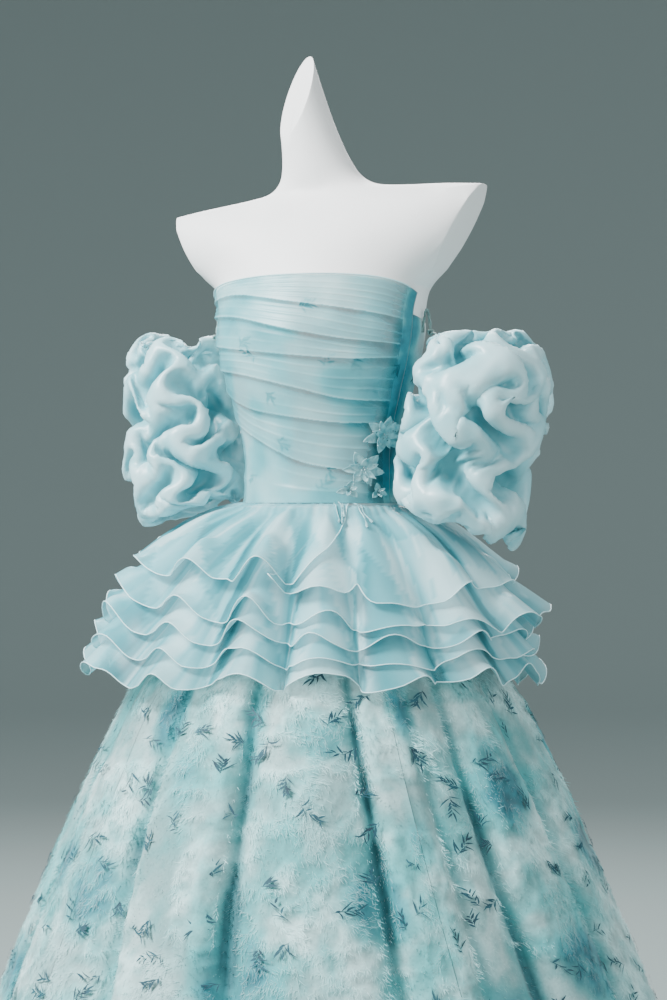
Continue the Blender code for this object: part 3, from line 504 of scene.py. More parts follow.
def noise(points: np.ndarray, size: float, seed: int) -> np.ndarray:
    """Smooth noise in space.

    Args:
        points: Places, in metres, with x, y and z on the last axis.
        size: Width of one lump in metres.
        seed: Which of many such patterns.

    Returns:
        Values from -1 to 1 at the places.
    """
    scaled = points / size + seed * 7.31
    cell = np.floor(scaled).astype(np.int64)
    part = scaled - cell
    part = part * part * (3 - 2 * part)
    total = np.zeros(points.shape[:-1])
    for corner in itertools.product((0, 1), repeat=3):
        near = cell + np.array(corner)
        mixed = (near[..., 0] * 73856093) ^ (near[..., 1] * 19349663) ^ (near[..., 2] * 83492791)
        mixed = (mixed ^ (seed * 668265263)) & 0x7FFFFFFF
        mixed = ((mixed ^ (mixed >> 13)) * 1274126177) & 0x7FFFFFFF
        value = ((mixed ^ (mixed >> 16)) & 0xFFFF) / 32767.5 - 1.0
        weight = np.prod(np.where(np.array(corner) == 1, part, 1 - part), axis=-1)
        total += value * weight
    return total


def unit(vectors: np.ndarray) -> np.ndarray:
    """Scale vectors on the last axis to a length of 1."""
    return vectors / np.maximum(np.linalg.norm(vectors, axis=-1, keepdims=True), 1e-12)


def face_out(grid: np.ndarray, closed: bool = False) -> np.ndarray:
    """Find the outward direction at each point of a grid.

    Args:
        grid: Points, whose rows run upwards and columns towards the wearer's left.
        closed: Whether the last column joins the first.

    Returns:
        Directions of length 1.
    """
    if closed:
        across = np.roll(grid, -1, axis=1) - np.roll(grid, 1, axis=1)
    else:
        across = np.gradient(grid, axis=1)
    return unit(np.cross(across, np.gradient(grid, axis=0)))


def blend(colours: np.ndarray | tuple, other: tuple, share: np.ndarray) -> np.ndarray:
    """Mix a colour into others by a share at each place."""
    share = np.clip(share, 0.0, 1.0)[..., None]
    return np.asarray(colours) * (1 - share) + np.asarray(other) * share


# Meshes


def grid_faces(rows: int, columns: int, closed: bool = False) -> np.ndarray:
    """List the four-cornered faces of a grid of points.

    Args:
        rows: Rows of points.
        columns: Points in a row.
        closed: Whether the last column joins the first.

    Returns:
        The numbers of each face's corners.
    """
    steps = columns if closed else columns - 1
    row, column = np.meshgrid(np.arange(rows - 1), np.arange(steps), indexing="ij")
    following = (column + 1) % columns
    corners = (
        row * columns + column,
        row * columns + following,
        (row + 1) * columns + following,
        (row + 1) * columns + column,
    )
    return np.stack(corners, axis=-1).reshape(-1, 4)


def piece_of(name: str, points: np.ndarray, faces: np.ndarray) -> Piece:
    """Make an object of points and faces.

    Args:
        name: The object's name.
        points: Points, with x, y and z on the last axis.
        faces: Corners of the faces, which all have the same number of them.

    Returns:
        The object.
    """
    mesh = bpy.data.meshes.new(name)
    points = points.reshape(-1, 3)
    mesh.vertices.add(len(points))
    mesh.vertices.foreach_set("co", points.astype(np.float32).ravel())
    mesh.loops.add(faces.size)
    mesh.loops.foreach_set("vertex_index", faces.astype(np.int32).ravel())
    mesh.polygons.add(len(faces))
    mesh.polygons.foreach_set("loop_start", np.arange(0, faces.size, faces.shape[1], dtype=np.int32))
    mesh.update(calc_edges=True)
    mesh.validate()
    mesh.shade_smooth()
    made = bpy.data.objects.new(name, mesh)
    bpy.context.scene.collection.objects.link(made)
    return made


def paint(piece: Piece, name: str, values: np.ndarray) -> None:
    """Store a colour, or one value, at each point of a piece.

    Args:
        piece: The piece.
        name: Name of the attribute that its material reads.
        values: Colours with three parts on the last axis, or single values.
    """
    count = len(piece.data.vertices)
    values = values.reshape(count, -1)
    if values.shape[1] == 1:
        values = np.repeat(values, 3, axis=1)
    full = np.ones((count, 4), np.float32)
    full[:, :3] = values
    layer = piece.data.color_attributes.new(name, "FLOAT_COLOR", "POINT")
    layer.data.foreach_set("color", full.ravel())


def lay_out(piece: Piece, across: np.ndarray, along: np.ndarray) -> None:
    """Give a piece a map of its cloth.

    Args:
        piece: The piece.
        across: Place of each point across the threads, in metres.
        along: Place of each point along them.
    """
    places = np.stack((across.ravel(), along.ravel()), axis=-1).astype(np.float32)
    layer = piece.data.uv_layers.new(name="cloth")
    corners = np.empty(len(piece.data.loops), np.int32)
    piece.data.loops.foreach_get("vertex_index", corners)
    layer.uv.foreach_set("vector", places[corners].ravel())


def sheet_piece(name: str, grid: np.ndarray, closed: bool = False) -> Piece:
    """Make a cloth surface with a map of its cloth.

    Args:
        name: The object's name.
        grid: Its points, whose rows run upwards.
        closed: Whether the last column joins the first.

    Returns:
        The object.
    """
    rows, columns, _ = grid.shape
    made = piece_of(name, grid, grid_faces(rows, columns, closed))
    steps = np.linalg.norm(np.diff(grid, axis=1), axis=-1)
    across = np.concatenate((np.zeros((rows, 1)), np.cumsum(steps, axis=1)), axis=1)
    rises = np.linalg.norm(np.diff(grid, axis=0), axis=-1)
    along = np.concatenate((np.zeros((1, columns)), np.cumsum(rises, axis=0)), axis=0)
    lay_out(made, across, along)
    return made


def tube_piece(name: str, path: np.ndarray, radius: float | np.ndarray, sides: int = 6) -> Piece:
    """Make a closed round tube along a path.

    Args:
        name: The object's name.
        path: Points along its middle.
        radius: Its radius, or the radius at each point.
        sides: Points round the tube.

    Returns:
        The object.
    """
    along = unit(np.gradient(path, axis=0))
    steep = np.abs(along[:, 2:3]) > 0.9
    lift = np.where(steep, np.array([[1.0, 0.0, 0.0]]), np.array([[0.0, 0.0, 1.0]]))
    across = unit(np.cross(along, lift))
    over = np.cross(across, along)
    turns = np.arange(sides) * 2 * np.pi / sides
    radius = np.broadcast_to(radius, (len(path),))[:, None, None]
    ring = across[:, None] * np.cos(turns)[None, :, None] + over[:, None] * np.sin(turns)[None, :, None]
    points = path[:, None] + ring * radius
    faces = grid_faces(len(path), sides, True)
    middle = np.concatenate((points.reshape(-1, 3), path[:1], path[-1:]))
    first, last = len(middle) - 2, len(middle) - 1
    turn = np.arange(sides)
    after = (turn + 1) % sides
    start = np.stack((np.full(sides, first), turn, after, after), axis=-1)
    far = (len(path) - 1) * sides
    end = np.stack((np.full(sides, last), far + after, far + turn), axis=-1)
    triangles = np.concatenate((faces[:, [0, 1, 2]], faces[:, [0, 2, 3]], start[:, :3], end))
    return piece_of(name, middle, triangles[:, ::-1])


def pick(*pieces: Piece) -> None:
    """Select these objects alone, the first of them active."""
    bpy.ops.object.select_all(action="DESELECT")
    for piece in pieces:
        piece.select_set(True)
    bpy.context.view_layer.objects.active = pieces[0]


def merged_copy(name: str, node: str) -> Piece:
    """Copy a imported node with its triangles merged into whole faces.

    Args:
        name: The copy's name.
        node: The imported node's name.

    Returns:
        The copy.
    """
    made = bpy.data.objects.new(name, frame["nodes"][node].data.copy())
    made.data.materials.clear()
    bpy.context.scene.collection.objects.link(made)
    pick(made)
    bpy.ops.object.mode_set(mode="EDIT")
    bpy.ops.mesh.select_all(action="SELECT")
    bpy.ops.mesh.remove_doubles(threshold=0.00005)
    flat, square = math.radians(30), math.radians(50)
    bpy.ops.mesh.tris_convert_to_quads(face_threshold=flat, shape_threshold=square)
    bpy.ops.object.mode_set(mode="OBJECT")
    return made


def smooth_over(piece: Piece, levels: int) -> None:
    """Apply a subdivision surface.

    Args:
        piece: The piece.
        levels: How many times each face is divided.
    """
    pick(piece)
    round_off = piece.modifiers.new("round", "SUBSURF")
    round_off.levels = levels
    round_off.render_levels = levels
    bpy.ops.object.modifier_apply(modifier=round_off.name)
    piece.data.shade_smooth()


def thicken(piece: Piece, thickness: float) -> None:
    """Give an open sheet its thickness, inwards from its face.

    Args:
        piece: The sheet.
        thickness: In metres.
    """
    wall = piece.modifiers.new("thickness", "SOLIDIFY")
    wall.thickness = thickness
    wall.offset = -1.0
    wall.use_even_offset = False


def join(name: str, pieces: Sequence[Piece]) -> Piece:
    """Join pieces into one.

    Args:
        name: The new piece's name.
        pieces: The pieces.

    Returns:
        The piece.
    """
    pick(*pieces)
    bpy.ops.object.join()
    made = bpy.context.view_layer.objects.active
    made.name = name
    return made


# Materials

# A wave texture turns through this many radians in a metre at a scale of 1
WAVE_TURN = 20.0


def add(tree: Tree, kind: str, inputs: dict | None = None, **settings: object) -> bpy.types.Node:
    """Add a node with its settings, values and links.

    Args:
        tree: The material's node tree.
        kind: The node's type, such as "ShaderNodeTexNoise".
        inputs: For each input's name or number, a value or the output that feeds it.
        **settings: The node's own properties.

    Returns:
        The node.
    """
    node = tree.nodes.new(kind)
    for name, value in settings.items():
        setattr(node, name, value)
    feed(tree, node, inputs or {})
    return node


def feed(tree: Tree, node: bpy.types.Node, inputs: dict) -> None:
    """Set or link a node's inputs.

    Args:
        tree: The material's node tree.
        node: The node.
        inputs: For each input's name or number, a value or the output that feeds it.
    """
    for name, value in inputs.items():
        if isinstance(value, Socket):
            tree.links.new(value, node.inputs[name])
        else:
            node.inputs[name].default_value = value


def bumps(tree: Tree, height: Socket, strength: float, distance: float) -> Socket:
    """Turn heights into a bumpy surface.

    Args:
        tree: The material's node tree.
        height: The heights' output.
        strength: How strongly they show, from 0 to 1.
        distance: Height of the bumps in metres.

    Returns:
        The output for a shader's normal.
    """
    inputs = {"Height": height, "Strength": strength, "Distance": distance}
    return add(tree, "ShaderNodeBump", inputs).outputs[0]


def between(tree: Tree, source: Socket, low: float, high: float) -> Socket:
    """Spread values from 0 to 1 between two others.

    Args:
        tree: The material's node tree.
        source: The values' output.
        low: What 0 becomes.
        high: What 1 becomes.

    Returns:
        The spread values' output.
    """
    return add(tree, "ShaderNodeMapRange", {0: source, 3: low, 4: high}).outputs[0]


def lumps(tree: Tree, scale: float, detail: float = 2.0, places: Socket | None = None) -> Socket:
    """Spread uneven lumps of noise.

    Args:
        tree: The material's node tree.
        scale: About how many lumps lie in a metre.
        detail: How many finer sizes are mixed in.
        places: The output that gives its places, or None for places in space.

    Returns:
        The noise's output.
    """
    if places is None:
        places = object_places(tree)
    inputs = {"Vector": places, "Scale": scale, "Detail": detail}
    return add(tree, "ShaderNodeTexNoise", inputs).outputs["Fac"]


def weave_scale(weave_mm: float) -> float:
    """Scale of a wave texture whose waves repeat after some millimetres."""
    return math.tau * 1000 / WAVE_TURN / weave_mm


def ramp(tree: Tree, source: Socket, stops: Sequence[tuple[float, str]]) -> Socket:
    """Add a colour ramp.

    Args:
        tree: The material's node tree.
        source: The output that it reads.
        stops: Places from 0 to 1 with their hex colours.

    Returns:
        The colours' output.
    """
    node = add(tree, "ShaderNodeValToRGB", {0: source})
    band = node.color_ramp
    while len(band.elements) < len(stops):
        band.elements.new(0.5)
    for element, (place, colour) in zip(band.elements, stops):
        element.position = place
        element.color = (*linear(colour), 1.0)
    return node.outputs[0]


@dataclass(frozen=True)
class Finish:
    """A surface finish: its name, and the record's slot that it belongs to."""

    name: str
    slot: str

    def dress(self, tree: Tree, shader: bpy.types.Node) -> None:
        """Build the finish in a material's node tree, on its Principled shader.

        Args:
            tree: The material's node tree.
            shader: Its Principled shader.
        """
        raise NotImplementedError

    def material(self) -> bpy.types.Material:
        """Make the material when it is first asked for.

        Returns:
            The material.
        """
        made = bpy.data.materials.get(self.name)
        if not made:
            made = bpy.data.materials.new(self.name)
            made.use_nodes = True
            self.dress(made.node_tree, made.node_tree.nodes["Principled BSDF"])
        return made

    def on(self, piece: Piece) -> Piece:
        """Put the finish on a piece.

        Args:
            piece: The piece.

        Returns:
            The same piece.
        """
        piece.data.materials.clear()
        piece.data.materials.append(self.material())
        return piece


@dataclass(frozen=True)
class StageFinish(Finish):
    """A finish of the studio, which isn't part of the object."""

    def on_stage(self, piece: Piece) -> None:
        """Put the finish on a piece of the studio."""
        piece.data.materials.append(self.material())


def object_places(tree: Tree) -> Socket:
    """Give places in space, in metres."""
    return add(tree, "ShaderNodeTexCoord").outputs["Object"]


def cloth_places(tree: Tree) -> Socket:
    """Give places on the cloth's own map, in metres."""
    return add(tree, "ShaderNodeUVMap", uv_map="cloth").outputs[0]


@dataclass(frozen=True)
class SprayedForm(Finish):
    """Glass-fibre shell sprayed matt white: an even skin with a faint orange peel and no gloss."""

    peel_mm: float = 2.2

    def dress(self, tree: Tree, shader: bpy.types.Node) -> None:
        """Build the sprayed skin.

        Args:
            tree: The material's node tree.
            shader: Its Principled shader.
        """
        peel = lumps(tree, 1000 / self.peel_mm, 3.0)
        inputs = {
            "Base Color": ramp(tree, lumps(tree, 7.0), ((0.3, "#eef0f0"), (0.7, "#f7f8f8"))),
            "Roughness": between(tree, peel, 0.46, 0.58),
            "Normal": bumps(tree, peel, 0.12, 0.0003),
        }
        feed(tree, shader, inputs)


@dataclass(frozen=True)
class BrushedSteel(Finish):
    """Mild steel, nickel plated and brushed: soft streaks of gloss."""

    streak_mm: float = 0.8

    def dress(self, tree: Tree, shader: bpy.types.Node) -> None:
        """Build the brushed metal.

        Args:
            tree: The material's node tree.
            shader: Its Principled shader.
        """
        drawn_out = {"Vector": object_places(tree), "Scale": (1.0, 1.0, 0.06)}
        places = add(tree, "ShaderNodeMapping", drawn_out).outputs[0]
        streaks = lumps(tree, 1000 / self.streak_mm, 4.0, places)
        inputs = {
            "Base Color": ramp(tree, streaks, ((0.2, "#b9bdbf"), (0.8, "#d9dcdd"))),
            "Metallic": 1.0,
            "Roughness": between(tree, streaks, 0.28, 0.42),
        }
        feed(tree, shader, inputs)


@dataclass(frozen=True)
class Organza(Finish):
    """Silk organza, crisp and sheer: a fine plain weave with a bright sheen; its colour deepens with the
    depth attribute, which holds painted shade and highlight besides the extra layers where it gathers.
    """

    alpha: float = 0.8
    pale: str = "#cdf5fa"
    mid: str = "#82cfd9"
    shade: str = "#45a3af"
    deep: str = "#12707c"
    cloud: float = 0.22
    weave_mm: float = 6.91

    def dress(self, tree: Tree, shader: bpy.types.Node) -> None:
        """Build the sheer weave; its threads are drawn coarser than real ones so that they show.

        Args:
            tree: The material's node tree.
            shader: Its Principled shader.
        """
        depth = add(tree, "ShaderNodeAttribute", attribute_name="depth").outputs["Fac"]
        cloudy = {0: lumps(tree, 16.0, 3.0), 1: self.cloud, 2: depth}
        moved = add(tree, "ShaderNodeMath", cloudy, operation="MULTIPLY_ADD").outputs[0]
        spread = add(tree, "ShaderNodeMath", {0: moved, 1: self.cloud / 2}, operation="SUBTRACT")
        stops = ((0.0, self.pale), (0.35, self.mid), (0.68, self.shade), (1.0, self.deep))
        threads = {"Vector": cloth_places(tree), "Scale": weave_scale(self.weave_mm)}
        warp = add(tree, "ShaderNodeTexWave", threads, bands_direction="X").outputs["Fac"]
        weft = add(tree, "ShaderNodeTexWave", threads, bands_direction="Y").outputs["Fac"]
        weave = add(tree, "ShaderNodeMath", {0: warp, 1: weft}, operation="MULTIPLY").outputs[0]
        inputs = {
            "Base Color": ramp(tree, spread.outputs[0], stops),
            "Roughness": 0.36,
            "Specular IOR Level": 0.6,
            "Sheen Weight": 0.22,
            "Sheen Roughness": 0.35,
            "Sheen Tint": (*linear("#c4f2f8"), 1.0),
            "Alpha": self.alpha,
            "Normal": bumps(tree, weave, 0.10, 0.0002),
        }
        feed(tree, shader, inputs)


@dataclass(frozen=True)
class PrintedCloth(Finish):
    """Cotton sateen under the organza, with the print's watercolour patches, and a fine twill line."""

    weave_mm: float = 5.655
    roughness: float = 0.62
    relief: float = 0.25

    def dress(self, tree: Tree, shader: bpy.types.Node) -> None:
        """Build the printed weave from the print's colours, which carry painted shade.

        Args:
            tree: The material's node tree.
            shader: Its Principled shader.
        """
        # The print attribute holds the print's colours with painted shade: down in the skirt's folds,
        # between its tufts, and on the bodice's side.
        colour = add(tree, "ShaderNodeAttribute", attribute_name="print").outputs["Color"]
        wash = ramp(tree, lumps(tree, 260.0, 4.0), ((0.25, "#d8dcdc"), (0.75, "#ffffff")))
        both = {0: 0.7, 6: colour, 7: wash}
        mixed = add(tree, "ShaderNodeMix", both, data_type="RGBA", blend_type="MULTIPLY")
        twill = {"Vector": cloth_places(tree), "Scale": weave_scale(self.weave_mm), "Distortion": 1.5}
        weave = add(tree, "ShaderNodeTexWave", twill, bands_direction="DIAGONAL")
        inputs = {
            "Base Color": mixed.outputs[2],
            "Roughness": self.roughness,
            "Sheen Weight": 0.3,
            "Normal": bumps(tree, weave.outputs["Fac"], self.relief, 0.0004),
        }
        feed(tree, shader, inputs)


@dataclass(frozen=True)
class EyelashYarn(Finish):
    """Clipped eyelash yarn of soft viscose: matt, thin and a little see-through, in the print's colours
    with their painted shade.
    """

    def dress(self, tree: Tree, shader: bpy.types.Node) -> None:
        """Build the yarn from its colours, which carry the ground's painted shade.

        Args:
            tree: The material's node tree.
            shader: Its Principled shader.
        """
        colour = add(tree, "ShaderNodeAttribute", attribute_name="print").outputs["Color"]
        inputs = {"Base Color": colour, "Roughness": 0.7, "Sheen Weight": 0.5, "Sheen Roughness": 0.5}
        feed(tree, shader, inputs)


@dataclass(frozen=True)
class LeafInk(Finish):
    """Dark teal ink of the leaf print, soaked unevenly into the cloth."""

    dark: str = "#0a3240"
    light: str = "#185866"

    def dress(self, tree: Tree, shader: bpy.types.Node) -> None:
        """Build the uneven ink.

        Args:
            tree: The material's node tree.
            shader: Its Principled shader.
        """
        colour = ramp(tree, lumps(tree, 60.0, 4.0), ((0.35, self.dark), (0.7, self.light)))
        feed(tree, shader, {"Base Color": colour, "Roughness": 0.7})


@dataclass(frozen=True)
class SatinRibbon(Finish):
    """Polyester satin ribbon: smooth floats with a soft, broad gloss, in uneven shades."""

    pale: str = "#a9d3d6"
    deep: str = "#4f9aa4"

    def dress(self, tree: Tree, shader: bpy.types.Node) -> None:
        """Build the satin.

        Args:
            tree: The material's node tree.
            shader: Its Principled shader.
        """
        inputs = {
            "Base Color": ramp(tree, lumps(tree, 120.0, 3.0), ((0.3, self.deep), (0.65, self.pale))),
            "Roughness": 0.34,
            "Sheen Weight": 0.2,
            "Normal": bumps(tree, lumps(tree, 1600.0), 0.2, 0.0002),
        }
        feed(tree, shader, inputs)


@dataclass(frozen=True)
class GlassBead(Finish):
    """Silver-lined glass seed beads: small, glossy and pale."""

    def dress(self, tree: Tree, shader: bpy.types.Node) -> None:
        """Build the lined glass.

        Args:
            tree: The material's node tree.
            shader: Its Principled shader.
        """
        colour = ramp(tree, lumps(tree, 400.0), ((0.3, "#5b949b"), (0.7, "#d5e6e8")))
        feed(tree, shader, {"Base Color": colour, "Metallic": 0.55, "Roughness": 0.16})


@dataclass(frozen=True)
class StudioPaper(StageFinish):
    """Pale seamless paper."""

    colour: str = "#8b9998"

    def dress(self, tree: Tree, shader: bpy.types.Node) -> None:
        """Build the paper.

        Args:
            tree: The material's node tree.
            shader: Its Principled shader.
        """
        inputs = {
            "Base Color": (*linear(self.colour), 1.0),
            "Roughness": 0.9,
            "Normal": bumps(tree, lumps(tree, 900.0, 3.0), 0.1, 0.0005),
        }
        feed(tree, shader, inputs)


FORM_WHITE = SprayedForm("sprayed form white", "form_white")
STEEL = BrushedSteel("brushed nickel plate", "stand_metal")
PEPLUM_ORGANZA = Organza("peplum organza", "organza", alpha=0.62)
SLEEVE_ORGANZA = Organza(
    "sleeve organza", "organza", 0.82, pale="#c8f0f6", mid="#8fd3dc", shade="#55a9b4", deep="#2c8490"
)
DRAPE_ORGANZA = Organza("drape organza", "organza", 0.54, pale="#b9eff5", mid="#76c9d2", deep="#0b5662")
ORGANZA_HEM = Organza("rolled organza hem", "organza", alpha=1.0, pale="#d6f6fa", mid="#b4e6ec")
BODICE_PRINT = PrintedCloth("printed sateen", "printed_cloth")
SKIRT_PRINT = PrintedCloth("jacquard ground", "jacquard", weave_mm=10.05, roughness=0.75, relief=0.5)
YARN = EyelashYarn("eyelash yarn", "jacquard")
SKIRT_INK = LeafInk("leaf print on jacquard", "jacquard")
BODICE_INK = LeafInk("leaf print on sateen", "printed_cloth", "#0f3f4a", "#256573")
ZIP_TAPE = SatinRibbon("zip tape", "zip_tape", "#8fc3c7", "#5ba1a8")
RIBBON = SatinRibbon("satin applique", "satin")
TIE = SatinRibbon("tie organza ribbon", "organza", "#8ea9a6", "#5f8583")
BEADS = GlassBead("seed beads", "satin")
PAPER = StudioPaper("studio paper", "")


def carry(piece: Piece, finish: Finish, replaces: Sequence[str] = ()) -> Piece:
    """Finish a piece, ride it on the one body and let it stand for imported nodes.

    Args:
        piece: The piece.
        finish: Its finish.
        replaces: The nodes that it replaces.

    Returns:
        The same piece.
    """
    finish.on(piece)
    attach(piece, "root")
    for node in replaces:
        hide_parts(node)
    LOG.info("%s: %d faces", piece.name, len(piece.data.polygons))
    return piece


def declare(
    piece: Piece,
    area: float,
) -> None:
    """State the cut of a sheet of cloth beside its measured area.

    Args:
        piece: The sheet.
        area: Area of its cut in square metres.
    """
    measured = sum(face.area for face in piece.data.polygons)
    LOG.info("%s: cloth %.4f m2, cut %.4f m2", piece.name, measured, area)


# The worn body, the drape, the skirt and the peplum as surfaces


def body_point(
    height: np.ndarray | float, angle: np.ndarray | float, out: np.ndarray | float
) -> np.ndarray:
    """Points a set distance out from the worn body.

    Args:
        height: Heights above the floor.
        angle: Angles from the front, growing towards the wearer's left.
        out: Distances out.

    Returns:
        The points.
    """
    height, angle, out = np.broadcast_arrays(np.asarray(height, float), angle, out)
    x = (read(BODY, "half_width", height) + out) * sine(angle)
    y = read(BODY, "centre_y", height) - (read(BODY, "half_depth", height) + out) * cosine(angle)
    return np.stack((x, y, height), axis=-1)


def pleat_heights(angle: np.ndarray) -> np.ndarray:
    """Height of each pleat's edge.

    Args:
        angle: Angles.

    Returns:
        Heights, with the pleats on the first axis, from the upper one down.
    """
    angle = np.clip(angle, *DRAPE_EDGES)
    heights = []
    for pleat in PLEATS:
        rows = [Edge(mark, height) for mark, height in zip(PLEAT_ANGLES, pleat[:5])]
        heights.append(read(rows, "height", angle))
    return np.array(heights)


def apart(angle: np.ndarray, mark: float) -> np.ndarray:
    """Turn from a mark to each angle, from -180 to 180 degrees."""
    return (angle - mark + 180.0) % 360.0 - 180.0


def fold_share(height: np.ndarray) -> np.ndarray:
    """Share of the folds' fall, from 0 at their top to 1 at the hem."""
    return np.clip((FOLD_TOP - height) / (FOLD_TOP - HEM), 0.0, 1.0)


def skirt_point(angle: np.ndarray, height: np.ndarray, lift: np.ndarray | float = 0.0) -> np.ndarray:
    """Points on the skirt's outer face, lifted by a distance.

    Args:
        angle: Angles, measured at the top of the folds.
        height: Heights above the floor.
        lift: How far out from the face.

    Returns:
        The points.
    """
    share = fold_share(height)
    marks = [FOLD_ENDS[0], *((fold.angle_above, fold.angle_below) for fold in SKIRT_FOLDS), FOLD_ENDS[1]]
    below = np.interp(angle, [mark[0] for mark in marks], [mark[1] for mark in marks])
    turned = angle + (below - angle) * share
    draw = skirt_fold_depth(angle, height) - lift
    x = (read(SKIRT, "half_width", height) - draw) * sine(turned)
    y = -(read(SKIRT, "half_depth", height) - draw) * cosine(turned)
    sway = np.clip((height - SWAY_FROM) / (SKIRT_TOP - SWAY_FROM), 0.0, 1.0) * SKIRT_SWAY
    return np.stack((x, y + sway, height + 0 * x), axis=-1)


def skirt_fold_depth(angle: np.ndarray, height: np.ndarray) -> np.ndarray:
    """How far the folds draw the skirt in.

    Args:
        angle: Angles, measured at the top of the folds.
        height: Heights above the floor.

    Returns:
        Distances inwards.
    """
    share = fold_share(height)
    depth = np.zeros(np.broadcast(angle, height).shape)
    for fold in SKIRT_FOLDS:
        away = apart(angle, fold.angle_above)
        reach = fold.depth_above * np.minimum(share * 5, 1.0)
        reach = reach + (fold.depth_below - fold.depth_above) * share
        depth = depth + reach * np.exp(-((away / fold.spread) ** 2))
    return depth


def waist_reach(angle: np.ndarray, height: float) -> np.ndarray:
    """Distance from the axis to a gathered edge that lies on the body at a height."""
    point = body_point(height, angle, 0.0006)
    return np.hypot(point[..., 0], point[..., 1])


def wave_phase(angle: np.ndarray) -> np.ndarray:
    """Find places between two crests of the ruffles' wave.

    Args:
        angle: Angles.

    Returns:
        Phases from 0 at one crest to a full turn at the next.
    """
    marks = np.array([crest.angle for crest in WAVES])
    low = np.clip(np.searchsorted(marks, angle) - 1, 0, len(marks) - 2)
    share = (angle - marks[low]) / (marks[low + 1] - marks[low])
    return 2 * np.pi * share


def wave(angle: np.ndarray) -> np.ndarray:
    """The ruffles' shared wave, from -1 in a hollow to about 1.5 on a crest."""
    return read(WAVES, "height", angle, Bend.STRAIGHT) * np.cos(wave_phase(angle))


def wave_slant(angle: np.ndarray) -> np.ndarray:
    """Which way each side of a wave leans, from -1 to 1."""
    return np.sin(wave_phase(angle))


def ruffle_height(
    layer: int, start_z: float, angle: np.ndarray, reach: np.ndarray, drop: float
) -> np.ndarray:
    """Height of a peplum layer's face.

    Args:
        layer: The layer's number, from 1 at the top.
        start_z: Height of its gathered edge.
        angle: Angles.
        reach: Distances from the axis.
        drop: How much steeper than its row it falls.

    Returns:
        Heights.
    """
    fall = read(RUFFLE_HEMS, "fall_%d" % layer, angle) + drop
    out = np.maximum(reach - waist_reach(angle, LOWEST_GATHER), 0.0)
    share = out / RUFFLE_REACH
    swell = RUFFLE_BULGE * np.sin(np.pi * np.minimum(share, 1.0))
    ripple = WAVE_HEIGHT * share * wave(angle)
    own = OWN_RIPPLE * share * np.sin(np.radians(angle * (OWN_RIPPLE_WAVES + layer)) + layer)
    raised = start_z - (WAIST_SEAM - RUFFLE_STEP * layer)
    rows = sorted(SKIRT, key=lambda row: row.half_width)
    over = np.interp(reach, [row.half_width for row in rows], [row.height for row in rows])
    over = over + SKIRT_CLEAR + LAYER_CLEAR * (LOWEST_LAYER - layer) + raised
    free = start_z - fall * out + swell + ripple + own
    return np.maximum(free, np.minimum(over, start_z - LEAST_FALL * fall * out))


def print_colours(
    angle: np.ndarray,
    height: np.ndarray,
    points: np.ndarray,
    blotches: Sequence[Blotch],
    ground: tuple[str, str, str],
) -> np.ndarray:
    """Colours of the watercolour print.

    Args:
        angle: Angles of the places, as the blotches count them.
        height: Their heights.
        points: The places themselves, for the cloudy edges.
        blotches: The teal patches.
        ground: The ground's white, its aqua wash and its grey.

    Returns:
        Linear colours at the places.
    """
    cloud = 0.6 * noise(points, 0.085, 3) + 0.4 * noise(points, 0.034, 4)
    fine = 0.6 * noise(points, 0.016, 5) + 0.4 * noise(points, 0.007, 6)
    white, aqua, grey = (linear(colour) for colour in ground)
    bare = np.broadcast_to(white, (*cloud.shape, 3))
    colours = blend(bare, aqua, soft_step(cloud + 0.25 * fine, -0.35, 0.50))
    colours = blend(colours, grey, 0.7 * soft_step(noise(points, 0.06, 9) + 0.2 * fine, 0.2, 0.6))
    stain = np.zeros(cloud.shape)
    for blotch in blotches:
        away = apart(angle, blotch.angle)
        near = np.exp(-((away / blotch.wide) ** 2) - ((height - blotch.height) / blotch.high) ** 2)
        stain = np.maximum(stain, blotch.strength * near)
    stain = stain * (1.0 + 0.45 * cloud + 0.35 * fine)
    colours = blend(colours, linear("#4fb3b8"), 0.88 * soft_step(stain, 0.08, 0.42))
    colours = blend(colours, linear("#06808f"), 0.95 * soft_step(stain, 0.30, 0.72))
    return blend(colours, linear("#0a6070"), 0.8 * soft_step(stain + 0.3 * fine, 0.75, 1.15))


